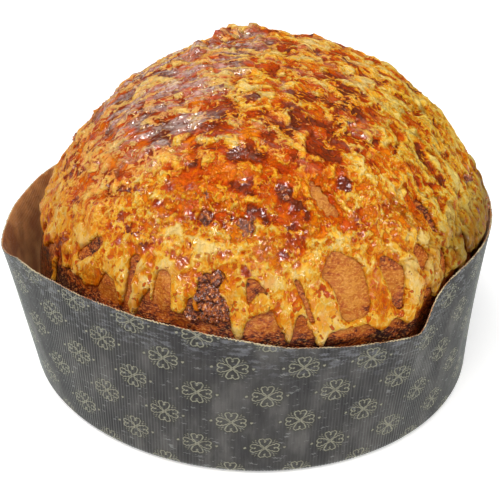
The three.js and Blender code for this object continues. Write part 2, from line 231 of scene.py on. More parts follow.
def make_piece(name, points, faces, attributes=None):
    """A smooth mesh object at the origin from points in millimetres."""
    mesh = bpy.data.meshes.new(name)
    mesh.from_pydata((np.asarray(points) * MM).tolist(), [], np.asarray(faces).tolist())
    mesh.polygons.foreach_set("use_smooth", np.ones(len(mesh.polygons), bool))
    for label, values in (attributes or {}).items():
        vector = np.ndim(values) == 2
        layer = mesh.attributes.new(label, "FLOAT_VECTOR" if vector else "FLOAT", "POINT")
        layer.data.foreach_set("vector" if vector else "value", np.asarray(values, np.float32).ravel())
    mesh.update()
    piece = bpy.data.objects.new(name, mesh)
    bpy.context.scene.collection.objects.link(piece)
    print(name, "starts with", len(mesh.vertices), "points")
    return piece


def point_normals(points, faces):
    """The direction out of the surface at each point."""
    corner = points[faces]
    across = np.cross(corner[:, 1] - corner[:, 0], corner[:, 2] - corner[:, 0])
    total = np.zeros_like(points)
    for k in range(3):
        np.add.at(total, faces[:, k], across)
    return total / np.maximum(np.linalg.norm(total, axis=1), 1e-12)[:, None]


def noise_at(points, size, seed, octaves=2):
    """Blender's own noise at points in millimetres, with lumps of about the given size."""
    shift = Vector([seed * step for step in SEED_STEP])
    return np.array([noise.fractal(Vector(p) / size + shift, 0.9, 2.0, octaves) for p in points.tolist()])


# %% [markdown]
# ## Helpers for node trees
# Materials and Geometry Nodes are both trees of nodes. A short helper makes a node, fills in what it is given
# and joins it to the nodes before it, so that each recipe below reads from top to bottom like a sum. The
# helpers add to the tree that is being built, and that one is always called tree.

# %% Adding a node
def fill(node, **inputs):
    """Fills a node's inputs, each named by its socket or by its number as in i0, with values or sockets."""
    for key, value in inputs.items():
        socket = node.inputs[int(key[1:]) if key[1:].isdigit() else key.replace("_", " ")]
        if isinstance(value, bpy.types.NodeSocket):
            node.id_data.links.new(value, socket)
        else:
            socket.default_value = value
    return node


def add(kind, props=None, **inputs):
    """A new node in the tree that is being built."""
    made = tree.nodes.new(kind)
    for key, value in (props or {}).items():
        setattr(made, key, value)
    return fill(made, **inputs)


def sum_of(operation, *values):
    """One step of arithmetic, on numbers or sockets."""
    inputs = {f"i{k}": value for k, value in enumerate(values)}
    return add("ShaderNodeMath", {"operation": operation}, **inputs).outputs[0]


def chain(operation):
    """A helper that joins any number of values, two at a time, by one operation."""
    return lambda *values: reduce(lambda first, other: sum_of(operation, first, other), values)


plus, minus, times, divided, least, most = map(
    chain, ("ADD", "SUBTRACT", "MULTIPLY", "DIVIDE", "MINIMUM", "MAXIMUM"))


def absolute(value):
    return sum_of("ABSOLUTE", value)


def between(value, low, high, start=0.0, end=1.0):
    """How far a value lies between two others, as a number from start to end."""
    inputs = {"From_Min": low, "From_Max": high, "To_Min": start, "To_Max": end}
    return add("ShaderNodeMapRange", Value=value, **inputs).outputs[0]


# %% Colours, grain and bumps
def srgb(colour):
    """Red, green and blue as a screen shows them, 0 to 255, in linear light. A socket passes as it is."""
    if isinstance(colour, bpy.types.NodeSocket):
        return colour
    parts = [c / 255 for c in colour]
    return [c / 12.92 if c <= 0.04045 else ((c + 0.055) / 1.055) ** 2.4 for c in parts] + [1.0]


def ramp(factor, *stops):
    """A colour ramp through stops, each a position and then red, green and blue."""
    made = add("ShaderNodeValToRGB", Fac=factor)
    elements = made.color_ramp.elements
    while len(elements) < len(stops):
        elements.new(0.5)
    for element, (position, *colour) in zip(elements, stops):
        element.position = position
        element.color = srgb(colour)
    return made.outputs[0]


def mixed(share, first, second, blend="MIX"):
    """The second colour laid over the first, for a share from 0 to 1."""
    props = {"data_type": "RGBA", "blend_type": blend}
    return add("ShaderNodeMix", props, i0=share, i6=srgb(first), i7=srgb(second)).outputs[2]


def layered(colour, *layers):
    """A colour with others laid over it in turn: where, how strongly, which, and how if not plainly."""
    for share, strength, other, *blend in layers:
        colour = mixed(times(share, strength), colour, other, *blend)
    return colour


def new_material(name):
    """A material, its tree and its shader."""
    made = bpy.data.materials.new(name)
    made.use_nodes = True
    return made, made.node_tree, made.node_tree.nodes["Principled BSDF"]


def grain(size, detail=3.0, stretch=(1, 1, 1)):
    """Noise on Object coordinates with lumps of a size in millimetres, about 0.5 in the middle."""
    place = add("ShaderNodeTexCoord").outputs["Object"]
    mapped = add("ShaderNodeMapping", Vector=place, Scale=stretch).outputs[0]
    return add("ShaderNodeTexNoise", Vector=mapped, Scale=1 / (size * MM), Detail=detail).outputs[0]


def field(name, output="Fac"):
    """A value that the piece's mesh carries at each of its points."""
    return add("ShaderNodeAttribute", {"attribute_name": name}).outputs[output]


def bump(height, strength, distance):
    """Normals tilted as if a height, times a distance in millimetres, stood on the surface."""
    return add("ShaderNodeBump", Height=height, Strength=strength, Distance=distance * MM).outputs[0]


# %% Geometry Nodes trees
def new_tree(name, values):
    """A tree with a geometry coming in and going out, and a named input for each value: its sizes."""
    made = bpy.data.node_groups.new(name, "GeometryNodeTree")
    made.interface.new_socket("Geometry", in_out="INPUT", socket_type="NodeSocketGeometry")
    for label, value in values.items():
        kind = "NodeSocket" + type(value).__name__.title()
        made.interface.new_socket(label, in_out="INPUT", socket_type=kind)
    made.interface.new_socket("Geometry", in_out="OUTPUT", socket_type="NodeSocketGeometry")
    return made, made.nodes.new("NodeGroupInput").outputs, made.nodes.new("NodeGroupOutput")


def point_value(name):
    return add("GeometryNodeInputNamedAttribute", {"data_type": "FLOAT"}, Name=name).outputs[0]


def vector_times(vector, factor):
    return add("ShaderNodeVectorMath", {"operation": "SCALE"}, i0=vector, Scale=factor).outputs[0]


def pushed(geometry, way, amount):
    """A geometry whose points are moved an amount along their way."""
    return add("GeometryNodeSetPosition", Geometry=geometry, Offset=vector_times(way, amount)).outputs[0]


def close_tree(geometry, way_in, way_out):
    """The last two steps of every tree: real meshes for the instances, and the finish."""
    real = add("GeometryNodeRealizeInstances", Geometry=geometry).outputs[0]
    done = add("GeometryNodeSetMaterial", Geometry=real, Material=way_in["Material"]).outputs[0]
    fill(way_out, i0=done)


def keep_result(piece, modifier):
    """Makes a modifier's result the plain mesh of its piece and takes the modifier off."""
    look = bpy.context.evaluated_depsgraph_get()
    shaped = piece.evaluated_get(look)
    mesh = bpy.data.meshes.new_from_object(shaped, preserve_all_data_layers=True, depsgraph=look)
    piece.modifiers.remove(modifier)
    piece.data = mesh
    print(piece.name, "has", sum(len(p.vertices) - 2 for p in mesh.polygons), "triangles")


def run_tree(piece, values):
    """Runs the tree on a piece. An input is set by its identifier, since names need not be unique."""
    modifier = piece.modifiers.new(tree.name, "NODES")
    modifier.node_group = tree
    for item in tree.interface.items_tree:
        if item.item_type == "SOCKET" and item.name in values:
            modifier[item.identifier] = values[item.name]
    keep_result(piece, modifier)


# %% [markdown]
# ## The paper's finish
# The case is dark grey baking paper, printed all over with one small ornament in dull gold: four heart-shaped
# petals in outline, with short rays between them and a dot to either side. The ornaments stand in columns
# 7.5 degrees apart, every second column half a step lower. An image texture would need a picture, so the
# ornament is drawn from distances: folded four ways, its petals are one small arc and two lines, and ink lies
# wherever the distance to them is less than half a stroke. Sheen gives the paper its pale bloom at a flat
# angle, and fine bumps the creases near its rim, where the colour also lays a pale painted highlight.

# %% Ink on the paper
COLUMN_TURN = 7.5
FIRST_COLUMN = -86.1
ROW_PITCH = 27.3
ROW_START = 14.9
PRINT_RADIUS = 105
ORNAMENT_SQUEEZE = (0.93, 1.08)
STROKE = 0.19
STROKE_SOFT = (0.18, 0.14)
SHADOW = (1.3, 0.5)

PETAL_FOOT, PETAL_WAIST, PETAL_SHOULDER = (0.12, 0.4), (1.6, 2.15), (2.32, 4.05)
LOBE, LOBE_RADIUS, LOBE_LEAN, LOBE_CUT = (1.2, 4.3), 1.12, 0.55, -0.55
PETAL_DOT, PETAL_DOT_RADIUS = (0.0, 3.75), 0.4
MIDDLE_RAY = (2.85, 2.85), (3.6, 3.6)
SIDE_RAY = (3.45, 4.2), (3.7, 4.75)
RAY_THINNER = 0.1
DOT, DOT_RADIUS = (5.3, 0.54 * ROW_PITCH), 0.5
FAR = 9.0


def distance(x, y):
    return sum_of("SQRT", plus(times(x, x), times(y, y)))


def distance_to_line(x, y, start, end):
    """Distance from (x, y) to the line between two points."""
    run_x, run_y = end[0] - start[0], end[1] - start[1]
    length = run_x**2 + run_y**2
    px, py = minus(x, start[0]), minus(y, start[1])
    along = plus(times(px, run_x / length), times(py, run_y / length))
    along = least(most(along, 0.0), 1.0)
    return distance(minus(px, times(along, run_x)), minus(py, times(along, run_y)))


def dot_at(x, y, place, radius):
    """Distance to a dot, taken so that it is inked like a stroke."""
    return minus(distance(minus(x, place[0]), minus(y, place[1])), radius - STROKE)


def ornament_ink():
    """How much ink lies at a point of the wall, and how near that is to a line of it, both from 0 to 1."""
    place = add("ShaderNodeSeparateXYZ", Vector=add("ShaderNodeTexCoord").outputs["Object"]).outputs
    azimuth = times(sum_of("ARCTAN2", place[1], place[0]), math.degrees(1))
    column = divided(minus(azimuth, FIRST_COLUMN), COLUMN_TURN)
    nearest = sum_of("ROUND", column)
    odd = absolute(sum_of("MODULO", nearest, 2.0))
    start = minus(ROW_START, times(odd, ROW_PITCH / 2))
    row = divided(minus(times(place[2], 1 / MM), start), ROW_PITCH)
    x = times(minus(column, nearest), math.radians(COLUMN_TURN) * PRINT_RADIUS)
    y = times(minus(row, sum_of("ROUND", row)), ROW_PITCH)
    x, y = (absolute(times(value, squeeze)) for value, squeeze in zip((x, y), ORNAMENT_SQUEEZE))
    across, along = least(x, y), most(x, y)
    lobe_x, lobe_y = minus(across, LOBE[0]), minus(along, LOBE[1])
    arc = absolute(minus(distance(lobe_x, lobe_y), LOBE_RADIUS))
    hidden = sum_of("LESS_THAN", plus(times(lobe_x, LOBE_LEAN), lobe_y), LOBE_CUT)
    rays = least(*(distance_to_line(across, along, *ray) for ray in (MIDDLE_RAY, SIDE_RAY)))
    near = least(
        distance_to_line(across, along, PETAL_FOOT, PETAL_WAIST),
        distance_to_line(across, along, PETAL_WAIST, PETAL_SHOULDER),
        plus(arc, times(hidden, FAR)),
        dot_at(across, along, PETAL_DOT, PETAL_DOT_RADIUS),
        dot_at(x, y, DOT, DOT_RADIUS),
        plus(rays, RAY_THINNER),
    )
    ink = between(near, STROKE + STROKE_SOFT[0], STROKE - STROKE_SOFT[1])
    worn = between(grain(2.5), 0.35, 0.6, 0.6)
    return times(ink, worn), between(near, *SHADOW)


# %% The paper's material
baking_paper, tree, shader = new_material("baking_paper")
mottle = grain(11, 5, (1, 1, 0.5))
fibres = grain(1.6, 3, (1, 1, 0.12))
near_rim = between(field("drop"), 20.0, 4.0)
# creases near the rim: a bump, and in the colour a pale painted highlight along them
crease_and_painted_highlight = times(near_rim, between(grain(2.6, 4, (0.5, 0.5, 1.6)), 0.52, 0.64))
scratch = between(grain(1.3, 3, (0.35, 0.35, 1.2)), 0.63, 0.7)
ink, shadow = ornament_ink()
outside = layered(
    ramp(mottle, (0.36, 22, 20, 22), (0.52, 45, 43, 42), (0.66, 80, 78, 75)),
    (fibres, 0.25, (120, 118, 118)),
    # pale blue-grey painted highlight along the creases near the rim
    (crease_and_painted_highlight, 0.4, (140, 142, 150)),
    (scratch, 0.45, (150, 152, 150)),
    (shadow, 0.3, (44, 44, 28)),
    (ink, 0.72, (168, 166, 142)),
)
kraft = mixed(between(grain(14, 3), 0.4, 0.62), (252, 184, 112), (206, 130, 72))
patchy = plus(times(grain(1.0, 3), 1.4), times(grain(9, 2), 2.2))
torn_edge = between(minus(field("drop"), patchy), -1.6, -2.0)
uneven = plus(times(fibres, 0.3), times(crease_and_painted_highlight, 1.5), times(mottle, 3.0))
fill(
    shader,
    Base_Color=mixed(torn_edge, mixed(field("inner"), outside, kraft), (206, 190, 150)),
    Roughness=0.5,
    Specular_IOR_Level=0.2,
    Sheen_Weight=0.52,
    Sheen_Roughness=0.35,
    Sheen_Tint=(0.9, 1.0, 0.95, 1),
    Normal=bump(uneven, 0.4, 0.5),
)
print("the paper's finish has", len(tree.nodes), "nodes")

# %% [markdown]
# ## The paper case
# The wall is one sheet, pressed into fine upright flutes so that it can stand by itself. Its rim is wavy: it
# leans out furthest at the left, dips right of the front and steps up past a crease. The smooth cup is a
# stack of rings, and a Geometry Nodes tree then presses the flutes into it, because they follow one rule all
# the way round: the paper moves out and in with the cosine of its azimuth.

# %% The smooth cup
FLUTES = 480
CASE_COLUMNS = 4 * FLUTES
FLUTE_DEPTH = 0.17
TATTERS = 1440
TATTER_HEIGHT = 0.14
RIPPLE_HEIGHT, RIPPLES = 0.25, 23
RIM_FROM = 0.98
DEEP_BELOW_RIM = 60
UNDERSIDE = [(1, 0), (60, 40), (240, 90), (CASE_COLUMNS, BASE_RADIUS - FOOT)]
FOOT_SHARES = (0.12, 0.4, 0.75, 1)
WALL_SHARES = (0.12, 0.22, 0.34, 0.46, 0.58, 0.7, 0.8, 0.88, 0.95, 0.99, 1)
LIP = [(1, 0.45), (0.985, 0.6), (0.93, 0.95)]
INSIDE_SHARES = (0.84, 0.7, 0.5, 0.25)
FLOOR_INSIDE = [(960, BASE_RADIUS - FOOT - PAPER), (240, 60), (1, 0)]

# kind, number of points, radius or share of the height, depth inside the outer face, whether it is inside
rings = [("flat", count, radius, 0, 0) for count, radius in UNDERSIDE]
rings += [("foot", CASE_COLUMNS, share, 0, 0) for share in FOOT_SHARES]
rings += [("wall", CASE_COLUMNS, share, 0, 0) for share in WALL_SHARES]
rings += [("wall", CASE_COLUMNS, share, inwards, 1) for share, inwards in LIP]
rings += [("wall", CASE_COLUMNS, share, PAPER, 1) for share in INSIDE_SHARES]
rings += [("flat", count, radius, PAPER, 1) for count, radius in FLOOR_INSIDE]
azimuth, level, faces = stack_rings([ring[1] for ring in rings])
kind, _, size, inwards, inner = (np.array(column)[level] for column in zip(*rings))
is_wall, is_foot, is_flat = (kind == name for name in ("wall", "foot", "flat"))

rim = rim_height(azimuth)
torn = np.random.default_rng(3).normal(0, TATTER_HEIGHT, TATTERS + 1)
torn[-1] = torn[0]
tatter = np.interp(azimuth, np.linspace(-180, 180, TATTERS + 1), torn)
tatter += RIPPLE_HEIGHT * np.sin(np.radians(azimuth * RIPPLES)) ** 3
wall_z = (rim + tatter * (size > RIM_FROM)) * size
z = np.where(is_wall, wall_z, np.where(is_foot, FOOT * size, inwards))
radius = np.where(is_flat, size, wall_radius(azimuth, z) - np.where(is_wall, inwards, 0))
cup = direction(azimuth) * radius[:, None]
cup[:, 2] = z
paper_case = make_piece("paper_case_sheet", cup, faces, {
    "inner": inner,
    "drop": np.where(is_wall, rim * (1 - size), DEEP_BELOW_RIM),
    "fluted": np.where(is_wall, 1.0, np.where(is_foot, size, 0.0)),
})

# %% The flutes
inputs = {"Flutes": FLUTES, "Depth": FLUTE_DEPTH * MM, "Material": baking_paper}
tree, way_in, way_out = new_tree("press_flutes", inputs)
place = add("ShaderNodeSeparateXYZ", Vector=add("GeometryNodeInputPosition").outputs[0]).outputs
around = sum_of("ARCTAN2", place[1], place[0])
push = times(sum_of("COSINE", times(around, way_in["Flutes"])), way_in["Depth"], point_value("fluted"))
outwards = add("ShaderNodeCombineXYZ", X=sum_of("COSINE", around), Y=sum_of("SINE", around)).outputs[0]
close_tree(pushed(way_in["Geometry"], outwards, push), way_in, way_out)
run_tree(paper_case, inputs)

# %% [markdown]
# ## Where the caramel ends
# The caramel was poured on the crown and ran down. Its lower edge is a line of drips with arches of bare
# crust between them, and higher up it parts round a few windows. A painted mask would need a picture, so the
# front ones are outlines of places on the dome, and the sides and back go on by a rule with seeded draws. The
# depth of a point inside the outline says how thick the caramel can be there, so the drips come out rounded.

# %% The outlines in front
# azimuth and degrees up, read from a grid drawn over the photo
FRONT_EDGE = [
    (-150, 18), (-147, 16.2), (-144.5, 15.8), (-142.5, 17.2), (-140, 16.4), (-137.5, 17), (-136, 15.6),
    (-134.5, 16.4), (-132.6, 16.4), (-131.6, 17.6), (-130.8, 20), (-129.6, 20.8), (-128, 20.4),
    (-126.4, 19.8), (-125.3, 18.6), (-124.6, 17.2), (-124.2, 15.8), (-123.7, 15.4), (-123.2, 16),
    (-123, 18), (-123.2, 21), (-123.7, 24.4), (-123.7, 26.4), (-122.6, 27.4), (-121.2, 27.3),
    (-120.9, 26.4), (-122, 25.2), (-122.2, 23.4), (-121.9, 20), (-121.6, 17), (-121.5, 15.4),
    (-120.9, 14.5), (-119.9, 14.6), (-119.4, 15.8), (-119.2, 17.8), (-118.5, 19.3), (-117.4, 21),
    (-116.8, 21.5), (-116.7, 20.2), (-116.5, 18.9), (-116, 18.8), (-115.9, 20.4), (-116.3, 22.4),
    (-116.3, 24), (-115.5, 25.6), (-114.2, 26.1), (-112.8, 25.2), (-111.9, 23.2), (-111.4, 20.8),
    (-111, 18.9), (-110.2, 18), (-108.8, 17.9), (-107.9, 18.6), (-107.6, 20), (-107.4, 21.4),
    (-106.9, 21.9), (-106.5, 21.2), (-106.3, 20), (-105.9, 19.2), (-105.2, 18.9), (-104.5, 19.1),
    (-104.8, 19.9), (-105.4, 20.6), (-105.6, 22.6), (-105.8, 24.8), (-105.2, 26.4), (-104, 27.2),
    (-102.6, 27), (-101.5, 28), (-100.1, 27.6), (-99.8, 26), (-100.8, 24.8), (-100.6, 23.2), (-99.3, 22),
    (-98.3, 20.8), (-97.9, 19.2), (-97.4, 17.2), (-96.9, 15.4), (-96, 14.4), (-95, 14.4), (-94.6, 15.6),
    (-94.3, 17.2), (-93.8, 18.6), (-92.5, 19.5), (-91, 20.2), (-89.2, 20.5), (-88.2, 20.1), (-87.8, 18.6),
    (-87.2, 17.2), (-86.3, 16.2), (-85.7, 14.4), (-85, 13.6), (-84.4, 14.6), (-83.9, 16.6), (-83.6, 18.6),
    (-82.9, 19.8), (-82.2, 20), (-81.5, 19.3), (-81.2, 17.9), (-80.8, 16.9), (-79.9, 16.6), (-79.5, 15.2),
    (-79.3, 13.6), (-78.4, 12.8), (-77.4, 13), (-77, 14.6), (-76.4, 15.6), (-75, 15.9), (-73, 16.3),
    (-70, 16.3), (-68.4, 16.7), (-67, 16.1), (-65.5, 15), (-64, 14), (-62.6, 14.5), (-61.2, 15.8),
    (-60, 16.2), (-58.8, 15.6), (-57.4, 14.2), (-56, 14.4), (-54.8, 15.4), (-53.4, 16.8), (-52.3, 18.4),
    (-51.2, 20), (-50.2, 20.6), (-49.2, 19), (-48.2, 17),
]
WINDOWS = [
    [(-75.6, 31.2), (-73.8, 32.4), (-71.5, 31.4), (-68.3, 29.9), (-66.8, 27), (-66.3, 24), (-66.3, 21),
     (-66.7, 19), (-68, 18.1), (-70, 17.8), (-72.8, 17.5), (-73.6, 20), (-74.4, 23), (-75.2, 25.3),
     (-77, 26.8), (-77.3, 28.4), (-76.3, 29.6)],
    [(-61.8, 29.6), (-60.2, 29.4), (-58, 27.5), (-56.6, 26), (-57.2, 22), (-58, 19.3), (-59, 17.6),
     (-60, 18.5), (-60.8, 21), (-61.4, 24), (-62.4, 26.5), (-62.5, 28.6)],
    [(-52.9, 29.6), (-50.6, 30), (-48.8, 28.4), (-48.4, 26.4), (-50, 25.2), (-51.4, 23.6), (-52.6, 26)],
    [(-84.3, 27.4), (-82.9, 27.2), (-81.6, 24.5), (-80.2, 20.8), (-79.3, 18), (-80.3, 17.9), (-81.4, 20.8),
     (-82.9, 24.6)],
    [(-94.8, 27.2), (-93.3, 27.1), (-91.2, 25.6), (-88.9, 23.6), (-90.4, 24.1), (-92, 24.4), (-93, 22.6),
     (-94.2, 21.8), (-94.4, 24.6)],
    [(-137.2, 25.8), (-134.8, 27.6), (-132.8, 26.8), (-134, 24), (-136.8, 21.8), (-139.8, 20),
     (-141.2, 21.4), (-139.2, 23.6)],
    [(-47.2, 38.4), (-45, 38.8), (-43.6, 35), (-43.1, 31), (-44.4, 30.6), (-46.1, 35)],
    [(-78.6, 46.6), (-77.4, 47.4), (-76.5, 45.6), (-75.2, 46.2), (-74.7, 43.9), (-73.4, 43.8), (-73.3, 42),
     (-71.6, 41.4), (-70.8, 39.2), (-72.2, 38.7), (-73.2, 40), (-74.6, 38.8), (-75.2, 41.2), (-76.9, 41),
     (-76.9, 43), (-78.4, 43.4), (-77.8, 45.2)],
    [(-44.8, 26.8), (-43, 27.4), (-42.4, 24), (-43.4, 20.4), (-45.2, 20.2), (-45.6, 23.6)],
    [(-113.6, 23), (-112.9, 23.6), (-112.6, 22.2), (-113.2, 21.6)],
]
print(len(FRONT_EDGE), "points of the lower edge and", len(WINDOWS), "windows were read from the photo")

# %% The outlines behind
BEHIND_STARTS, BEHIND_ENDS = -45.0, 204
DRIP_TIPS = [13.0, 15.5, 18.0, 20.0]
ARCH_TOP = 20.5
EDGE_ENDS = [(209, 18), (210, 18)]
BELOW_ALL = [(210, -30), (-150, -30)]
WINDOWS_FROM, WINDOW_STEP = -28, 13.0
draw = np.random.default_rng(11)


def side_edge():
    """The lower edge round the sides and back: a drip about every eight degrees."""
    line = []
    azimuth = BEHIND_STARTS
    while azimuth < BEHIND_ENDS:
        half = draw.uniform(0.9, 2.4)
        tip = draw.choice(DRIP_TIPS) + draw.uniform(-1, 1)
        arch = max(tip + 1.2, ARCH_TOP + draw.uniform(-2.5, 2.5))
        middle = azimuth + half + draw.uniform(0.3, 1.6)
        line += [(azimuth - half * 1.5, arch - 0.4), (middle - half * 0.95, (arch + tip) / 2)]
        line += [(middle - half * 0.75, tip + 0.9), (middle - half * 0.3, tip), (middle + half * 0.3, tip)]
        line += [(middle + half * 0.75, tip + 0.9), (middle + half * 0.95, (arch + tip) / 2)]
        azimuth = middle + half * 1.5 + draw.uniform(1.0, 4.6)
        line += [(azimuth - 1.4, arch + draw.uniform(-0.4, 1.6))]
    return [p for p in line if p[0] < BEHIND_ENDS + 4] + EDGE_ENDS


def side_windows():
    """Windows of the sides and back."""
    made = []
    for azimuth in np.arange(WINDOWS_FROM, BEHIND_ENDS, WINDOW_STEP):
        at = azimuth + draw.uniform(-5, 5)
        top = draw.uniform(26, 42)
        half = draw.uniform(0.5, 1.4) / math.cos(math.radians(top))
        long = draw.uniform(3.5, 9.5)
        lean = draw.uniform(-1, 1)
        made.append([
            (at - half * 0.7, top), (at + half * 0.6, top + 0.5), (at + half + lean / 2, top - long / 2),
            (at + half * 0.8 + lean, top - long), (at - half * 0.6 + lean, top - long * 1.06),
            (at - half + lean / 2, top - long * 0.55),
        ])
    return made


def rounded(loop, times=2):
    """Cuts the corners of a closed outline."""
    loop = np.array(loop, float)
    for _ in range(times):
        after = np.roll(loop, -1, 0)
        loop = np.stack([0.75 * loop + 0.25 * after, 0.25 * loop + 0.75 * after], 1).reshape(-1, 2)
    return loop


EDGE_LOOP = np.concatenate([rounded(FRONT_EDGE + side_edge())[:-6], BELOW_ALL])
WINDOW_LOOPS = [rounded(loop) for loop in WINDOWS + side_windows()]
print(len(EDGE_LOOP), "points along the lower edge,", len(WINDOW_LOOPS), "windows")

# %% How deep inside the outline
DOME_RISE = 112
DEEPEST = 30.0
EDGE_TOP = 42
WINDOW_REACH = (12, 14)
STEEPEST = 60


def outline_distance(azimuth, up, loop):
    """Distance in millimetres to a closed outline, below zero inside it."""
    narrowing = math.cos(math.radians(min(loop[:, 1].mean(), STEEPEST)))
    scale = np.array([math.radians(1) * MERIDIAN * narrowing, math.radians(1) * DOME_RISE])
    x, y = azimuth * scale[0], up * scale[1]
    loop = loop * scale
    near = np.full(len(x), 1e9)
    odd = np.zeros(len(x), bool)
    for (x0, y0), (x1, y1) in zip(loop, np.roll(loop, -1, 0)):
        run_x, run_y = x1 - x0, y1 - y0
        t = np.clip(((x - x0) * run_x + (y - y0) * run_y) / (run_x**2 + run_y**2 + 1e-12), 0, 1)
        near = np.minimum(near, (x - x0 - t * run_x) ** 2 + (y - y0 - t * run_y) ** 2)
        if y0 != y1:
            odd ^= ((y0 > y) != (y1 > y)) & (x < run_x * (y - y0) / run_y + x0)
    return np.sqrt(near) * np.where(odd, -1, 1)


def caramel_depth(azimuth, up):
    """How far a point of the dome lies inside the caramel's outline, in millimetres."""
    azimuth = (azimuth + 150) % 360 - 150
    depth = np.full(len(azimuth), DEEPEST)
    low = up < EDGE_TOP
    depth[low] = np.minimum(outline_distance(azimuth[low], up[low], EDGE_LOOP), DEEPEST)
    for loop in WINDOW_LOOPS:
        at, high = loop.mean(0)
        near = (np.abs(azimuth - at) < WINDOW_REACH[0]) & (np.abs(up - high) < WINDOW_REACH[1])
        depth[near] = np.minimum(depth[near], outline_distance(azimuth[near], up[near], loop))
    return depth


front = caramel_depth(np.full(4, FRONT), np.array([14, 18, 22, 26]))
print("depth in front at 14, 18, 22 and 26 degrees up:", front.round(1))

# %% [markdown]
# ## The crust
# The loaf is a closed body with a flat bottom and sides that follow the paper. Only a belt of its dome shows,
# between the drips and in the windows, so that belt has rings a millimetre apart and the rest is coarser. The
# crust's grain of small pits and its low lumps are pushed into the mesh by a Geometry Nodes tree, which keeps
# their sizes as named inputs. Its colour is one ramp from golden to nearly black, read by how much each place
# was toasted, because that is how a crust gets its colours in the oven. Low down, in the narrow gap by the
# paper, the same ramp also carries painted shade.

# %% The crust's finish
crust, tree, shader = new_material("baked_crust")
blotch = grain(8, 4)
pores = grain(0.8, 3, (0.8, 0.8, 1.3))
layers = grain(1.7, 4, (0.6, 0.6, 1.2))
blotchy, layered_up = times(minus(blotch, 0.5), 0.9), times(minus(0.5, layers), 1.6)
# the toast field also holds painted shade low down in the gap by the paper
toast_and_gap_shade = plus(field("toast_and_gap_shade"), blotchy, minus(0.5, pores), layered_up)
baked_and_shaded = ramp(toast_and_gap_shade, (0.0, 204, 132, 44), (0.25, 186, 106, 26), (0.45, 180, 88, 20), (0.65, 140, 62, 20),
             (0.82, 92, 34, 16), (1.0, 50, 18, 10))
fill(
    shader,
    Base_Color=layered(baked_and_shaded, (between(pores, 0.54, 0.66), 0.4, (232, 168, 92))),
    Roughness=between(blotch, 0.35, 0.65, 0.3, 0.62),
    Specular_IOR_Level=0.12,
    Normal=bump(pores, 0.8, 0.6),
)
print("the crust's finish has", len(tree.nodes), "nodes")

# %% The loaf
# azimuth, degrees up, radius and height in millimetres of lumps along the crest
CREST = [
    (-171, 66, 4, 1.6), (179, 71, 5, 2.2), (168, 74.5, 5, 2.6), (152, 76, 5, 3.2), (134, 76.5, 5, 3.4),
    (120, 78, 4, 2.6), (104, 80, 4, 1.4), (-20, 84, 6, 1.0), (10, 66, 5, 1.4), (-8, 52, 5, 1.4),
]
# height, size and seed of the lumps, and how jagged they make the crest
LUMPS = [(1.5, 15, 21), (0.8, 7, 22)]
JAGGED_SIZE, JAGGED_SEED = 5, 23
SIDE_LEVELS = [PAPER + GAP, 3.0, 8.0, 16.0, 24.0]
SIDE_COLUMNS = 240
BOTTOM_INSET = 1
# degrees up where a belt of rings starts and ends, from ring to ring, millimetres from point to point
BELTS = [(-4, 8, 2.5, 5.0), (8, 36, 0.55, 1.05), (36, 48, 1.0, 2.0), (48, 88, 2.5, 5.0)]


def lumpy(points, up):
    """The crust's low lumps, which the caramel over it follows."""
    out = unit(points - DOME_CENTRE)
    rise = sum(height * noise_at(points, size, seed) for height, size, seed in LUMPS)
    jagged = 0.9 + 1.1 * noise_at(points, JAGGED_SIZE, JAGGED_SEED)
    for at, high, radius, height in CREST:
        away = np.linalg.norm(points - crust_point(at, high), axis=1)
        rise += height * smoothstep(away, 1.5 * radius, 0.3 * radius) * jagged
    return inside_case(points + out * (rise * smoothstep(up, 8, 16))[:, None], LOAF_INSET)


dome_rings = [(up, spacing) for start, end, step, spacing in BELTS for up in np.arange(start, end, step)]
side_counts = [1] + [SIDE_COLUMNS] * len(SIDE_LEVELS)
azimuth, level, faces = stack_rings(side_counts + [columns_at(*ring) for ring in dome_rings] + [1])
ups = np.concatenate([np.zeros(len(side_counts)), [up for up, _ in dome_rings], [90]])[level]
points = crust_point(azimuth, ups)
is_side = level < len(side_counts)
points[is_side, 2] = np.array([SIDE_LEVELS[0]] + SIDE_LEVELS)[level[is_side]]
bottom = level <= 1
points[bottom, :2] = (BASE_RADIUS - FOOT - PAPER - BOTTOM_INSET) * direction(azimuth[bottom])[:, :2]
points[level == 0, :2] = 0
points[is_side] = inside_case(points[is_side], LOAF_INSET)
points[~is_side] = lumpy(points[~is_side], ups[~is_side])
print("the loaf's crown stands", points[-1, 2].round(1), "mm high")

# %% How the crust was toasted, with painted shade in the gap
# azimuth, degrees up, radius in millimetres, how much darker
TOASTED = [
    (-71.5, 25, 15, -0.34), (-71, 15.5, 10, -0.25), (-67, 20, 3, 0.25), (-114, 22, 8, -0.2),
    (-103, 22, 9, 0.38), (-128, 18, 8, -0.12), (-91, 18, 6, -0.02), (-60, 24, 6, -0.32),
    (-58.5, 21, 4, 0.1), (-136, 24, 6, 0.25), (-74.5, 42.5, 8, -0.42), (-45, 34, 5, 0.0),
]


def toast_at(points, up):
    """How dark the crust is: darker low down by the paper, partly a darker crust and partly painted shade in
    the gap, with paler and darker places.
    """
    # darker low down by the paper: partly a darker crust, partly painted shade in the narrow gap
    dark = 0.5 + 0.45 * smoothstep(up, 17, 12.5)
    for at, high, radius, change in TOASTED:
        away = np.linalg.norm(points - crust_point(at, high), axis=1)
        dark = dark + change * np.exp(-((away / radius) ** 4))
    return dark


values = {"toast_and_gap_shade": toast_at(points, ups), "risen": smoothstep(ups, 6, 14)}
loaf = make_piece("loaf_crust", points, faces, values)

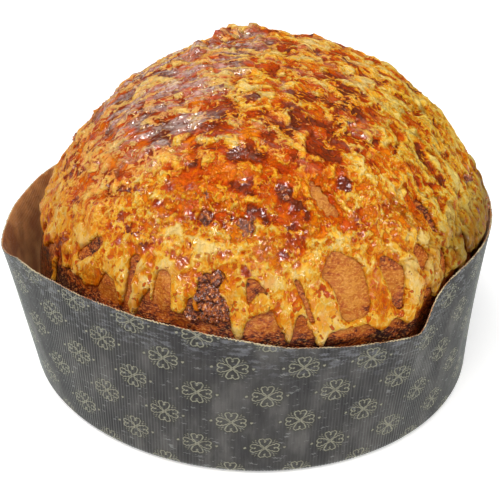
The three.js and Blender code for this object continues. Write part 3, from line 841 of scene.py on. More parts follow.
# %% Lumps and pits of the crust
inputs = {
    "Lump Size": 4 * MM, "Lump Height": 0.3 * MM, "Pit Size": 1.8 * MM, "Pit Depth": 0.35 * MM, "Seed": 3.0,
    "Material": crust,
}
tree, way_in, way_out = new_tree("rise_crust", inputs)


def lumps_of(size, height, detail):
    """Noise about zero, with lumps of a named size and height."""
    noisy = add("ShaderNodeTexNoise", {"noise_dimensions": "4D"}, W=way_in["Seed"],
                Scale=divided(1.0, way_in[size]), Detail=detail).outputs[0]
    return times(minus(noisy, 0.5), way_in[height])


swell = plus(lumps_of("Lump Size", "Lump Height", 2.0), lumps_of("Pit Size", "Pit Depth", 1.0))
normal = add("GeometryNodeInputNormal").outputs[0]
close_tree(pushed(way_in["Geometry"], normal, times(swell, point_value("risen"))), way_in, way_out)
run_tree(loaf, inputs)

# %% [markdown]
# ## Dark crags
# Where chocolate and fruit came through the crust it baked into dark, shiny crags: a mound of them at the
# front, and a few more that stand through the caramel. A crag is a small ball with noise pushed into it. One
# tree makes the ball once and sets a turned and sized copy at each point, which is how anything that is
# scattered is best made.

# %% The crags' finish
crag_finish, tree, shader = new_material("dark_crag")
speck = grain(1.6, 3)
fill(
    shader,
    Base_Color=ramp(speck, (0.3, 64, 34, 28), (0.48, 128, 66, 40), (0.58, 176, 92, 36), (0.7, 214, 140, 66)),
    Roughness=0.2,
    Specular_IOR_Level=0.5,
    Normal=bump(speck, 0.7, 0.5),
)
print("the crags' finish has", len(tree.nodes), "nodes")

# %% Where the crags stand
# azimuth, degrees up, radius in millimetres, how far the middle stands off the crust
CRAGS = [
    (-105, 25.8, 1.9, 0.3), (-101.6, 26.3, 2.5, 0.8), (-103.9, 24.2, 2.6, 0.3), (-101.8, 23.4, 2.6, 0.4),
    (-105.1, 22.4, 1.8, 0.3), (-103.2, 22.2, 2.4, 0.6), (-100.6, 22, 2.2, 0.3), (-99.2, 20.6, 2.0, 0.2),
    (-102.4, 20.2, 2.8, 0.6), (-100.6, 19.6, 2.3, 0.4), (-104.2, 20.3, 1.7, 0.3), (-98.8, 18.9, 1.7, 0.1),
    (-101.4, 17.9, 2.0, 0.1), (-103.6, 18.3, 1.8, 0.1), (-106.8, 18.2, 1.8, 0.0), (-105.4, 17.8, 1.5, 0.1),
    (-106.8, 38.2, 2.4, 1.4), (-105.9, 36.8, 1.5, 1.1), (-96.6, 37.6, 1.9, 1.3), (-94.8, 37, 1.7, 1.2),
    (-95.8, 35.9, 1.4, 1.2), (-94.2, 38.6, 1.3, 1.3), (-86.4, 45, 1.6, 1.3), (-84.6, 44.6, 1.4, 1.2),
    (-85.6, 43.4, 1.3, 1.2), (-110.2, 42.4, 1.7, 0.9), (-108.4, 42.8, 1.5, 0.9),
]
BACK_CRAG_STEP = 22.0
CRAGS_TOGETHER = 3

crag_rows = list(CRAGS)
for azimuth_off in np.arange(-20, 200, BACK_CRAG_STEP):
    at, high = azimuth_off + draw.uniform(-8, 8), draw.uniform(22, 50)
    for _ in range(CRAGS_TOGETHER):
        place = (at + draw.uniform(-1.5, 1.5), high + draw.uniform(-1.5, 1.5))
        crag_rows.append((*place, draw.uniform(1.2, 2.2), 1.0))
at, high, radius, off = np.array(crag_rows).T
seats = crust_point(at, high)
seats = seats + unit(seats - DOME_CENTRE) * off[:, None]
crags = make_piece("crust_crags", seats, np.zeros((0, 3), int), {"crag_size": radius * MM})

# %% The crags
BALL_DETAIL = 4
WHOLE_TURN = (6.28, 6.28, 6.28)
SMALLEST, LARGEST = (0.65, 0.65, 0.65), (1.25, 1.25, 1.25)
inputs = {"Roughness": 2.2, "Seed": 5, "Material": crag_finish}
tree, way_in, way_out = new_tree("set_crags", inputs)


def random_vector(lowest, highest):
    props = {"data_type": "FLOAT_VECTOR"}
    return add("FunctionNodeRandomValue", props, i0=lowest, i1=highest, Seed=way_in["Seed"]).outputs[0]


ball = add("GeometryNodeMeshIcoSphere", Radius=1.0, Subdivisions=BALL_DETAIL).outputs[0]
knobs = add("ShaderNodeTexNoise", Scale=1.3, Detail=4.0, Roughness=0.6).outputs[0]
normal = add("GeometryNodeInputNormal").outputs[0]
ball = pushed(ball, normal, times(minus(knobs, 0.5), way_in["Roughness"]))
spin = random_vector((0, 0, 0), WHOLE_TURN)
scale = vector_times(random_vector(SMALLEST, LARGEST), point_value("crag_size"))
places = add("GeometryNodeMeshToPoints", Mesh=way_in["Geometry"]).outputs[0]
copies = add("GeometryNodeInstanceOnPoints", Points=places, Instance=ball, Rotation=spin, Scale=scale)
close_tree(copies.outputs[0], way_in, way_out)
run_tree(crags, inputs)

# %% [markdown]
# ## Places read from the photo
# The pools, the pale patches and the wet places of the caramel lie where the photo shows them, and they are
# read most easily in pixels of the photo. A photo projected on the dome would bring its light along, and
# would smear at the sides. So the script holds the camera that was fitted to the photo, follows the ray
# through a pixel to the dome, and keeps only the place where it lands.

# %% The camera of the photo
PHOTO_SIDE = 500
FOCAL = 996.0
CAMERA_AWAY = 480.0
CAMERA_AIM = np.array([0, 0, 60.0])
ELEVATION, YAW, PITCH, ROLL = (math.radians(angle) for angle in (29, -0.24, -1.40, 2.05))


def turned(first, second, angle):
    """Two directions at right angles, turned together in their own plane."""
    c, s = math.cos(angle), math.sin(angle)
    return c * first + s * second, c * second - s * first


BACKWARDS = np.array([0, -math.cos(ELEVATION), math.sin(ELEVATION)])
CAMERA_PLACE = CAMERA_AIM + CAMERA_AWAY * BACKWARDS
SIGHT, RIGHTWARDS = turned(-BACKWARDS, np.array([1.0, 0, 0]), YAW)
SIGHT, UPWARDS = turned(SIGHT, np.cross([1.0, 0, 0], -BACKWARDS), PITCH)
RIGHTWARDS, UPWARDS = turned(RIGHTWARDS, UPWARDS, ROLL)


def photo_pixel(point):
    """The pixel at which the photo shows a point."""
    away = point - CAMERA_PLACE
    scale = FOCAL / (away @ SIGHT)
    return PHOTO_SIDE / 2 + scale * np.array([away @ RIGHTWARDS, -away @ UPWARDS])


def seen_at(x, y):
    """Azimuth and degrees up of the place on the dome that the photo shows at a pixel."""
    size = DOME_SIZE + CARAMEL + GAP
    ray = (FOCAL * SIGHT + (x - PHOTO_SIDE / 2) * RIGHTWARDS - (y - PHOTO_SIDE / 2) * UPWARDS) / size
    start = (CAMERA_PLACE - DOME_CENTRE) / size
    a, b, c = ray @ ray, start @ ray, start @ start - 1
    hit = unit(start + (-b - math.sqrt(max(b * b - a * c, 0))) / a * ray)
    return math.degrees(math.atan2(hit[1], hit[0])), math.degrees(math.asin(hit[2]))


print("the middle of the photo shows the place", np.round(seen_at(PHOTO_SIDE / 2, PHOTO_SIDE / 2), 1))

# %% The pools and the pale patches
# read from the photo, in its pixels: middle across and down, half length, half width and tilt of an
# ellipse, how much creamier than its surroundings it is, and how dark
SEEN_PATCHES = [
    (107, 138, 8, 3, 30, -0.9, 0.5), (143, 157, 18, 3.5, 27, -0.8, 0.9), (127, 189, 9, 3.5, -10, -0.9, 1.0),
    (124, 213, 7, 4, 20, -0.9, 0.7), (155, 203, 5, 3, 20, -0.8, 0.6), (110, 205, 4, 3, 0, -0.6, 0.3),
    (57, 244, 6, 4, 60, -0.9, 0.9), (178, 128, 11, 4, 20, -0.8, 0.8), (190, 137, 14, 7, 50, -1.1, 0.15),
    (221, 131, 18, 2.8, 13, -0.9, 0.65), (217, 112, 8, 3.5, 0, -0.9, 1.1), (263, 113, 10, 4, 0, -0.9, 1.1),
    (247, 132, 17, 5, 5, -1.0, 0.1), (269, 135, 7, 4, 0, -1.0, 0.8), (238, 154, 11, 6, -15, -1.2, 0.85),
    (195, 143, 7, 2, 20, -0.8, 1.0), (212, 147, 12, 1.4, 0, -0.7, 1.1), (191, 161, 7, 3, 25, -0.9, 1.1),
    (213, 157, 9, 6, -10, 0.7, 0), (174, 162, 4, 7, 0, 0.8, 0), (163, 176, 4, 6, 0, 0.7, 0),
    (188, 177, 14, 9, 10, -1.2, 0.2), (222, 172, 13, 8, 0, -0.5, 0), (242, 188, 13, 4, -25, -1.2, 0.8),
    (222, 193, 16, 5, -10, 0.5, -0.1), (254, 209, 15, 5, -42, -1.2, 0.75), (206, 216, 7, 6, 0, -0.7, 1.1),
    (229, 222, 6, 6, 0, 0.9, 0), (231, 217, 2.5, 2.5, 0, -1.2, 0.7), (250, 223, 9, 5, -20, -0.8, 1.0),
    (188, 206, 8, 4, 0, -0.8, 0.2), (168, 187, 5, 3, 0, -0.8, 0.5), (313, 63, 10, 3.5, 0, -0.9, 0.25),
    (359, 71, 7, 3, -15, -1.0, 0.9), (381, 82, 7, 3, -20, -0.6, 0.9), (302, 94, 14, 4, -15, -0.9, 1.1),
    (306, 87, 10, 2.5, -5, -1.0, 0.2), (347, 88, 10, 5, -25, -0.9, 1.1), (355, 106, 16, 4, -42, -0.9, 1.1),
    (330, 101, 9, 3.5, -40, -0.9, 1.1), (334, 96, 4, 4, 0, -1.1, 0.4), (347, 113, 9, 3, -20, -0.5, 0.7),
    (316, 122, 22, 4, -20, -0.9, 1.1), (357, 124, 10, 3, 0, -1.0, 0.15), (346, 131, 4, 3, 0, -0.9, 1.1),
    (367, 142, 10, 5, -35, -0.8, 0.8), (324, 149, 23, 8, -38, -1.2, 0.85), (372, 162, 9, 7, -20, -0.9, 0.7),
    (359, 165, 5, 9, 0, 0.8, -0.1), (302, 147, 4, 9, 0, 0.7, 0), (312, 157, 12, 3, -20, 0.7, 0),
    (328, 170, 7, 5, -30, 0.6, 0), (309, 169, 4, 4, 0, -0.9, 0.4), (291, 167, 5, 4, 0, -0.9, 0.4),
    (418, 112, 8, 3.5, -60, -1.0, 0.7), (437, 123, 6, 3, -60, -1.0, 0.8), (402, 96, 6, 3, -40, -0.9, 0.8),
    (413, 122, 9, 2.5, -35, -0.9, 0.7), (399, 133, 9, 4, -65, -0.9, 0.5), (395, 147, 5, 3, -70, -1.0, 1.0),
    (425, 157, 14, 4, -60, -1.0, 1.1), (414, 171, 15, 2.6, -50, -1.0, 0.9),
    (443, 179, 10, 4, -65, -1.0, 1.0), (376, 143, 6, 6, 0, -1.0, 1.1), (387, 158, 14, 8, -50, -0.9, 0.25),
    (448, 153, 3.5, 3, 0, -0.9, 0.9), (462, 174, 10, 1.6, -60, -0.9, 0.7),
    (462, 193, 4, 2.5, -60, -1.0, 0.8), (420, 202, 7, 5, -70, -1.0, 0.6), (445, 202, 6, 4, -70, -1.0, 0.4),
    (438, 193, 4, 3, 0, -0.9, 0.5), (154, 73, 4, 3, 0, -0.8, 1.2), (188, 53, 7, 4, 20, -0.8, 0.2),
    (300, 184, 20, 6, -5, 0.3, 0), (292, 230, 8, 5, 0, 0.4, 0), (288, 200, 10, 7, -35, -1.1, 0.8),
    (299, 204, 7, 4, -60, -1.1, 1.1), (308, 216, 6, 4, -60, -1.0, 1.0), (270, 196, 6, 5, -30, -0.9, 0.2),
    (332, 220, 8, 4, -30, -0.9, 0.35), (345, 206, 7, 5, -40, -0.8, 0.3), (320, 190, 12, 3, -45, 0.8, -0.1),
    (200, 262, 12, 10, 0, 0.5, -0.1), (236, 250, 14, 8, 0, 0.6, -0.1), (285, 189, 8, 5.5, 10, -1.0, 1.0),
    (282, 210, 10, 8, 0, -1.1, 0.2), (295, 226, 5, 5, 0, -1.0, 0.6), (303, 245, 4, 8, 0, -0.9, 0.7),
    (329, 202, 13, 8, -40, -0.6, 0.45), (352, 223, 12, 5, -10, -1.0, 0.5),
    (337, 194, 28, 2.6, -50, 0.9, -0.1), (313, 207, 22, 3.6, -70, 0.7, -0.1),
    (346, 184, 7, 6, -20, -1.1, 0.9), (372, 211, 8, 8, 0, -0.8, 0.15), (292, 167, 6, 5, 0, -0.9, 0.4),
    (315, 168, 9, 4, 10, -0.9, 0.4), (326, 226, 6, 5, 0, -0.7, 0.3), (328, 242, 6, 4, 0, -0.6, 0.2),
    (338, 239, 5, 9, 0, 0.8, 0), (244, 253, 4, 3, 0, -0.9, 0.6), (283, 256, 3, 3, 0, -0.9, 0.6),
    (58, 249, 7, 12, 0, -0.9, 0.9), (150, 260, 4, 6, 0, -0.9, 0.15), (144, 271, 4, 4, 0, -0.7, 0.2),
    (136, 235, 7, 6, 0, 0.5, 0), (156, 232, 5, 7, 0, 0.7, 0), (218, 55, 14, 6, 0, -0.3, 0.8),
    (270, 42, 6, 3, 0, -0.9, 1.1), (290, 43, 13, 3, 0, -0.8, 0.8), (249, 59, 7, 3, 0, -0.7, 0.7),
    (307, 61, 18, 3, -8, -0.8, 0.4), (248, 68, 12, 4, 0, 0.5, 0), (289, 85, 7, 3, 0, 0.7, 0),
    (238, 73, 8, 4, 0, -0.6, 0.8), (192, 76, 5, 2, 35, -0.8, 1.0), (190, 88, 12, 4, 10, -0.5, 0.7),
    (251, 93, 11, 3, 0, -0.9, 1.1), (266, 89, 16, 2, 0, -0.8, 0.5), (227, 70, 4, 6, 0, 0.6, 0),
    (155, 92, 16, 6, 35, -0.4, 0.8), (120, 120, 12, 7, 40, -0.3, 0.8), (100, 152, 10, 5, 40, 0.2, 0.1),
]


def on_dome(azimuth, up):
    """The point of the dome there, and the directions east and north on it."""
    middle = crust_point(azimuth, up)
    east = direction(azimuth + 90)
    return middle, east, np.cross(unit((middle - DOME_CENTRE) / DOME_SIZE**2), east)


def ellipse(long, wide, tilt):
    """Half axes of an ellipse, as columns of a matrix."""
    c, s = math.cos(math.radians(tilt)), math.sin(math.radians(tilt))
    return np.array([[long * c, -wide * s], [long * s, wide * c]])


def seen_ellipse(x, y, long, wide, tilt):
    """Where an ellipse of the photo lies: azimuth, degrees up, half axes east and north in millimetres."""
    azimuth, up = seen_at(x, y)
    middle, east, north = on_dome(azimuth, up)
    here = photo_pixel(middle)
    one_mm = np.stack([photo_pixel(middle + east) - here, photo_pixel(middle + north) - here], 1)
    counted_down = ellipse(long, wide, tilt) * [[1], [-1]]
    return azimuth, up, np.linalg.solve(one_mm, counted_down)


print(len(SEEN_PATCHES), "pools and patches were read from the photo")

# %% Pools behind, and the places that stayed wet
POOLS_BEHIND = (-8, 176, 4.2)
POOL_CHANGES = [-1.1, -0.9, 0.7]

# read from the photo where the caramel glints: pixels across and down, and a radius in millimetres
SEEN_WET = [
    (148, 162, 2.6), (125, 187, 2.6), (134, 189, 2.2), (168, 186, 2.4), (142, 191, 2.0), (155, 201, 2.2),
    (189, 213, 3.2), (189, 187, 2.0), (120, 217, 2.2), (118, 242, 2.6), (139, 248, 2.2), (137, 236, 2.0),
    (155, 237, 2.6), (155, 222, 2.2), (182, 262, 2.8), (191, 245, 2.4), (228, 224, 2.8), (231, 216, 2.2),
    (236, 150, 2.8), (245, 182, 2.8), (217, 278, 2.4), (181, 277, 2.0), (247, 274, 2.4), (207, 212, 2.4),
    (225, 255, 2.0), (248, 217, 2.0), (266, 213, 3.0), (262, 245, 3.0), (284, 186, 3.0), (295, 212, 2.6),
    (295, 227, 3.2), (302, 234, 2.4), (292, 243, 2.4), (282, 255, 2.4), (258, 265, 2.6), (263, 275, 2.2),
    (297, 265, 2.0), (345, 180, 2.6), (350, 188, 2.2), (358, 216, 3.4), (387, 206, 3.2), (396, 198, 2.4),
    (390, 220, 2.2), (363, 235, 2.4), (326, 274, 1.8), (256, 283, 1.8), (443, 175, 2.4),
]
# azimuth, degrees up and radius of a few more round the back
WET_BEHIND = [(-20, 45, 3), (15, 38, 3), (60, 52, 3), (110, 40, 3), (150, 34, 3), (175, 50, 3)]

patches = [(*seen_ellipse(*row[:5]), *row[5:]) for row in SEEN_PATCHES]
draw = np.random.default_rng(23)
for azimuth_off in np.arange(*POOLS_BEHIND):
    for _ in range(2):
        long = draw.uniform(2.5, 7)
        at, high = azimuth_off + draw.uniform(-4, 4), draw.uniform(30, 84)
        axes = ellipse(long, long * draw.uniform(0.3, 0.6), draw.uniform(-90, 90))
        patches.append((at, high, axes, draw.choice(POOL_CHANGES), draw.uniform(0.1, 1.1)))
wet_places = [(*seen_at(x, y), radius) for x, y, radius in SEEN_WET] + WET_BEHIND
longest = max(np.linalg.norm(row[2], 2) for row in patches)
print(len(patches), "patches, the largest", round(longest, 1), "mm long, and", len(wet_places), "wet places")

# %% [markdown]
# ## The caramel, thick and thin
# Salted caramel is opaque and pale where it lies thick, and dark amber where the crust shows through a thin
# glossy film. One field says how creamy each point is. It comes from the patches and from lumpy noise, which
# is drawn out down the sides, where the caramel ran, and along arcs over the top, where it was poured from
# left to right. Painting the colours alone would be less work, but the same field also gives the thickness of
# the mesh and the gloss, so a pale thread really stands up over the pool beside it.

# %% Drawn out as it was poured
ARC_STRETCH, RIBBON_STRETCH = 2.3, 4.0
POUR_LEAN = 0.16
RUN_STRETCH = 0.55
FACING, CENTRE_AT = -92, -94


def poured(points, stretch):
    """Points drawn together along arcs over the dome from left to right, as the caramel was poured."""
    arc = points[:, [0, 2]] - DOME_CENTRE[[0, 2]]
    along = points[:, 1] + POUR_LEAN * arc[:, 0]
    arc /= np.hypot(arc[:, 0], arc[:, 1])[:, None] + 1e-6
    return np.stack([arc[:, 0] * MERIDIAN / stretch, along, arc[:, 1] * MERIDIAN / stretch], 1)


def run_down(points, up):
    """Points drawn together up and down, where the caramel ran down the side."""
    flow = points.copy()
    flow[:, 2] *= 1 - RUN_STRETCH * smoothstep(up, 50, 24)
    return flow


def regions(azimuth, up):
    """How far each point belongs to the parts of the dome where the caramel lies differently, 0 to 1."""
    turn = turn_between(azimuth, FACING)
    high = np.maximum(smoothstep(up, 38, 54), plateau(turn, 22, 46, 110, 130) * smoothstep(up, 16, 30))
    off_centre = np.abs(turn_between(azimuth, CENTRE_AT))
    return {
        "high": np.maximum(high, plateau(turn, -150, -110, -48, -30) * smoothstep(up, 24, 36)),
        "low": smoothstep(up, 37, 25),
        "belt": plateau(up, 24, 31, 40, 47),
        "left": plateau(turn, -170, -125, -56, -36) * smoothstep(up, 60, 46),
        "right": plateau(turn, 34, 58, 120, 165) * smoothstep(up, 70, 54),
        "behind": plateau(turn, -175, -125, -44, -14),
        "folded": plateau(turn, 26, 44, 120, 150) * smoothstep(up, 62, 50),
        "centre": smoothstep(off_centre, 34, 20) * smoothstep(np.abs(up - 45), 11, 5),
        "crown": smoothstep(np.abs(turn), 60, 35) * smoothstep(up, 50, 58),
    }


def blended(share, below, above):
    """One value below and another above, where the share is 1."""
    return (1 - share) * below + share * above


front = regions(FRONT, 45)
print("the middle of the front belongs to", [name for name, share in front.items() if share > 0.5])

# %% Patches and wet places laid on the dome
PATCH_EDGE = (1.3, 0.7)
PATCH_LOOKS_AT = 1.7
WET_EDGE = (1.3, 0.6)
WET_SPOTS = (0.22, 0.38)


def lay_patches(points, wobble, middle, cream, dark):
    """Draws the patches into the creamy and the dark field. The result says how calm the caramel lies in the
    pools, and how smooth in any patch."""
    calm, smooth = np.zeros(len(points)), np.zeros(len(points))
    for at, top, axes, change, tone in patches:
        place, east, north = on_dome(at, top)
        away = points - place
        near = np.flatnonzero((away**2).sum(1) < (PATCH_LOOKS_AT * np.linalg.norm(axes, 2)) ** 2)
        flat = np.stack([away[near] @ east, away[near] @ north])
        reach = np.linalg.norm(np.linalg.solve(axes, flat), axis=0) + wobble[near]
        weight = smoothstep(reach, *PATCH_EDGE)
        cream[near] += weight * (change + 0.45 * middle[near] - cream[near])
        smooth[near] = np.maximum(smooth[near], weight)
        if change < 0:
            dark[near] += weight * (tone - dark[near])
            calm[near] = np.maximum(calm[near], weight)
    return calm, smooth


def wet_field(points, flow, wobble, belt):
    """Where the caramel glints: the places that were read, and small spots in the belt below the crown."""
    wet = 0.7 * belt * smoothstep(noise_at(flow, *WET_GRAIN), *WET_SPOTS)
    for at, top, radius in wet_places:
        away = np.linalg.norm(points - on_dome(at, top)[0], axis=1) + 2 * wobble
        wet = np.maximum(wet, smoothstep(away / radius, *WET_EDGE))
    return wet


print("a patch fades out over", round(PATCH_EDGE[0] - PATCH_EDGE[1], 1), "of its half width")

# %% The creamy and the dark field
# each layer of noise has the size of its lumps in millimetres and a seed; the first three have octaves too,
# and are given for the sides and then for the arcs
BROAD = (12, 4, 2), (9, 14, 2)
MIDDLE = (5.0, 5, 3), (4.4, 15, 3)
LINES = (3.8, 7, 2), (3.4, 17, 2)
WARP_SIZE, WARP_SEEDS, WARP_REACH = 12, (1, 2, 3), 4
WOBBLE = (4.5, 12)
TONE, WET_GRAIN = (16, 6), (4.5, 26)
RIDGES_LOW, RIDGES_HIGH = (5.5, 19), (6, 18)
RIBBON, STREAKS = (5.5, 25), (5, 20)
THREAD, FOLD = (0.12, 0.02), (0.13, 0.03)
LINE_WANDER, RIBBON_WANDER = 0.8, 0.6
CALMER_LOW = 0.7


def caramel_fields(points, azimuth, up):
    """The fields that the finish reads, the ridges left by pouring, and how calm the pools lie. Creaminess
    runs from about -1 where the film is thinnest to 1 where the caramel is thick and pale, and the darkness
    of the film from 0 for orange to 1 for nearly black."""
    parts = regions(azimuth, up)
    high, low, left, right, centre = (parts[name] for name in ("high", "low", "left", "right", "centre"))
    flow, arcs = run_down(points, up), poured(points, ARC_STRETCH)
    warp = np.stack([noise_at(points, WARP_SIZE, seed) for seed in WARP_SEEDS], 1) * WARP_REACH
    wobble = 0.7 * noise_at(points, *WOBBLE)

    def both_ways(layers, wander=1.0):
        below, above = layers
        return blended(high, noise_at(flow + warp * wander, *below), noise_at(arcs + warp * wander, *above))

    broad, middle = both_ways(BROAD), both_ways(MIDDLE)
    cream = -0.15 + (1.2 + 0.3 * low) * broad + (1.5 - 0.5 * low) * middle + 0.6 * low + 0.7 * right
    dark = 0.28 + 0.8 * noise_at(flow, *TONE) + 0.45 * smoothstep(up, 42, 58) + 0.4 * left - 0.1 * low
    calm, smooth = lay_patches(points, wobble, middle, cream, dark)
    dark += 0.15 * centre
    cream += 0.1 - 0.34 * centre + 0.1 * high - 0.16 * parts["crown"] - 0.4 * left * (1 - low)
    thread = smoothstep(np.abs(both_ways(LINES, LINE_WANDER)), *THREAD)
    cream += (0.95 * thread - 0.2) * (1 - 0.85 * calm) * (1 - CALMER_LOW * low)

    ridges = blended(high, noise_at(flow * [1, 1, 0.6], *RIDGES_LOW), noise_at(arcs + warp, *RIDGES_HIGH))
    ridges *= (1 - 0.7 * calm) * (1 + 0.6 * right + 0.5 * left)
    ribbon = noise_at(poured(points, RIBBON_STRETCH) + RIBBON_WANDER * warp, *RIBBON)
    # grooves along the folds, which the mesh sinks in and the finish also darkens with painted shade
    fold = smoothstep(np.abs(ribbon), *FOLD) * parts["folded"] * (1 - 0.6 * smooth)
    behind = parts["behind"]
    streaky = 0.12 + 0.88 * behind + 0.8 * noise_at(arcs + warp, *STREAKS)
    sheet = smoothstep(up + 7 * behind, 46, 57) * streaky - 0.3 * right
    return {
        "cream": cream, "dark": dark, "left": left, "right": right, "high": high, "low": low,
        "wet": wet_field(points, flow, wobble, parts["belt"]), "sheet": np.clip(sheet, 0.01, 1),
        "arcs": arcs * MM, "amber": 0.4 * centre + 0.05 * high, "smooth": smooth, "fold": fold,
    }, ridges, calm


# %% The field on a fine dome
DOME_FROM, DOME_TO, DOME_STEP, DOME_SPACING = 10.5, 88.6, 0.49, 0.93
FILM = 0.45
THICKER, LOWER_EDGE, NUBS, RIDGES, FOLDS = 1.15, 0.5, 0.4, 0.6, 0.8
EDGE_ROUND = 2.4
THINNEST, RIM_LIFT = 0.2, 0.05
CLEAR_OF_EDGE = 0.04
# size and seed of the noise that roughens the outline, and how far in it reaches
RAGGED, RAGGED_REACH = (3.0, 8), 12
NUBS_LOW, NUBS_HIGH = (2.1, 9), (1.7, 10)

ups = np.arange(DOME_FROM, DOME_TO, DOME_STEP)
azimuth, level, faces = stack_rings([columns_at(up, DOME_SPACING) for up in ups] + [1])
up = np.concatenate([ups, [90]])[level]
base = lumpy(crust_point(azimuth, up), up)
outward = point_normals(base, faces)
depth = caramel_depth(azimuth, up)
depth += 0.45 * noise_at(base, *RAGGED) * (depth < RAGGED_REACH)
depth = np.where(np.abs(depth) < CLEAR_OF_EDGE, CLEAR_OF_EDGE, depth)
depth = np.where(level == 0, np.minimum(depth, -CLEAR_OF_EDGE), depth)
fields, ridges, calm = caramel_fields(base, azimuth, up)
cream = fields["cream"]
print("cream at 5, 25, 50, 75 and 95 %:", np.percentile(cream, [5, 25, 50, 75, 95]).round(2))

nubs = blended(fields["high"], noise_at(base, *NUBS_LOW), noise_at(fields["arcs"] / MM, *NUBS_HIGH))
nubs *= (1 - 0.75 * calm) * (1 - 0.5 * fields["low"]) * (1 + 0.6 * fields["left"])
height = FILM + THICKER * smoothstep(cream, -1.2, 1.3) + LOWER_EDGE * smoothstep(up, 30, 22)
height += NUBS * nubs + RIDGES * ridges - FOLDS * fields["fold"]
edge = np.sqrt(1 - (1 - np.clip(depth / EDGE_ROUND, 0, 1)) ** 2)
height = np.maximum(height, THINNEST) * edge + RIM_LIFT
over = inside_case(base + outward * (GAP + height)[:, None], 0.1)
under = base + outward * (GAP * 0.5)
print("the caramel is up to", (height[depth > 0].max() + GAP / 2).round(1), "mm thick")

# %% [markdown]
# ## The skin of caramel
# The caramel is a sheet with a ragged outline and rounded edges. Cutting it out with a Boolean would be slow
# and leave slivers, so it is cut as it is made: triangles of the fine dome are kept inside the outline, those
# that cross it are cut where the depth is zero, and an outer and an inner sheet are sewn together there. The
# inner sheet is never seen, so Decimate thins it.

# %% Cutting the caramel from the dome
def cut_shell(over, under, faces, depth, values):
    """Keeps the skin where depth is above zero, as an outer and an inner sheet with a shared outline."""
    inside = depth > 0
    count = inside[faces].sum(1)
    kept = faces[count > 0]
    count = count[count > 0]
    one, two, whole = count == 1, count == 2, count == 3
    lone = np.where(one, inside[kept].argmax(1), np.where(two, (~inside[kept]).argmax(1), 0))
    rows = np.arange(len(kept))
    a, b, c = (kept[rows, (lone + k) % 3] for k in range(3))

    cut = ~whole
    pairs = np.concatenate([np.stack([a, b], 1)[cut], np.stack([a, c], 1)[cut]])
    pairs.sort(1)
    edges, back = np.unique(pairs, axis=0, return_inverse=True)
    back = back.reshape(-1)
    start, end = edges.T
    t = depth[start] / (depth[start] - depth[end])
    used = np.flatnonzero(inside)
    number = np.full(len(depth), -1)
    number[used] = np.arange(len(used))
    ab, ac = np.full((2, len(kept)), -1)
    ab[cut] = 2 * len(used) + back[: cut.sum()]
    ac[cut] = 2 * len(used) + back[cut.sum():]

    sheets = []
    for shift in (0, len(used)):
        na, nb, nc = number[a] + shift, number[b] + shift, number[c] + shift
        corners = (na, nb, nc, whole), (na, ab, ac, one), (ab, nb, nc, two), (ab, nc, ac, two)
        sheet = np.concatenate([np.stack(three, 1)[where] for *three, where in corners])
        sheets.append(sheet if shift == 0 else sheet[:, ::-1])

    def on_outline(value):
        share = t.reshape((-1,) + (1,) * (value.ndim - 1))
        return value[start] * (1 - share) + value[end] * share

    points = np.concatenate([over[used], under[used], on_outline(under)])
    carried = {}
    for name, value in values.items():
        carried[name] = np.concatenate([value[used], value[used], on_outline(value)])
    carried["under"] = np.repeat([0.0, 1.0, 0.0], (len(used), len(used), len(t)))
    return points, np.concatenate(sheets), carried


points, shell, carried = cut_shell(over, under, faces, depth, fields)
print("caramel shell of", len(shell), "triangles before its underside is thinned")

# %% Loose scraps off, underside thinned
MOST_ROUNDS = 400
UNDERSIDE_KEEPS = 0.66


def largest_body(points, shell, carried):
    """Keeps the largest connected body."""
    label = np.arange(len(points))
    for _ in range(MOST_ROUNDS):
        low = label[shell].min(1)
        before = label.copy()
        for k in range(3):
            np.minimum.at(label, shell[:, k], low)
        label = label[label]
        if (label == before).all():
            break
    name, size = np.unique(label[shell[:, 0]], return_counts=True)
    kept = label == name[size.argmax()]
    number = np.cumsum(kept) - 1
    shell = number[shell[kept[shell[:, 0]]]]
    return points[kept], shell, {key: value[kept] for key, value in carried.items()}


points, shell, carried = largest_body(points, shell, carried)
caramel = make_piece("caramel_coat", points, shell, carried)
group = caramel.vertex_groups.new(name="under")
group.add(np.flatnonzero(carried["under"] > 0.5).tolist(), 1.0, "REPLACE")
thin = caramel.modifiers.new("thin_underside", "DECIMATE")
thin.ratio = UNDERSIDE_KEEPS
thin.vertex_group = "under"
thin.vertex_group_factor = 1000
keep_result(caramel, thin)

# %% [markdown]
# ## The caramel's finish
# The colour starts from two ramps: the film's, from orange to dark red-brown, and the body's, from amber to
# cream. The creamy field, with finer streaks, strings and pits added, chooses between them at a crisp border,
# as a photo of the real thing shows it. More colours are laid over that one by one: darker seams, partly the
# caramel's own edge and partly painted shade in the creases, folds darkened with painted shade, grit, pale
# flecks of painted highlight, golden stains, olive patches of painted shade low down, spots with an outline,
# and grey bands where the shoulders mirror the sky. Last come darker tints low down: painted shade over the
# whole lower belt and more on its right side, and on its left side partly a browner colour and partly
# painted shade. Wet places and bands get a clear coat, with drops of its own in the bump, which gives the
# glints. A plain noise texture could not do this, because the real caramel changes its character from the
# drips to the crown.

# %% Streaks, strings and bands
caramel_finish, tree, shader = new_material("salted_caramel")
cream, dark, low, high, left, right, wet, sheet, smooth, fold, amber = map(
    field, ("cream", "dark", "low", "high", "left", "right", "wet", "sheet", "smooth", "fold", "amber"))
arcs = field("arcs", "Vector")


def along_arcs(size, detail, distortion, vector=arcs):
    inputs = {"Scale": 1 / (size * MM), "Detail": detail, "Distortion": distortion}
    return add("ShaderNodeTexNoise", Vector=vector, **inputs).outputs[0]


def streaks(size, detail=3.0, down=0.5):
    """Noise about zero, drawn out the way the caramel was poured: along the arcs above, down the sides."""
    below = grain(size, detail, (1, 1, down))
    blend = add("ShaderNodeMix", i0=high, i2=below, i3=along_arcs(size, detail, 0.6)).outputs[0]
    return minus(blend, 0.5)


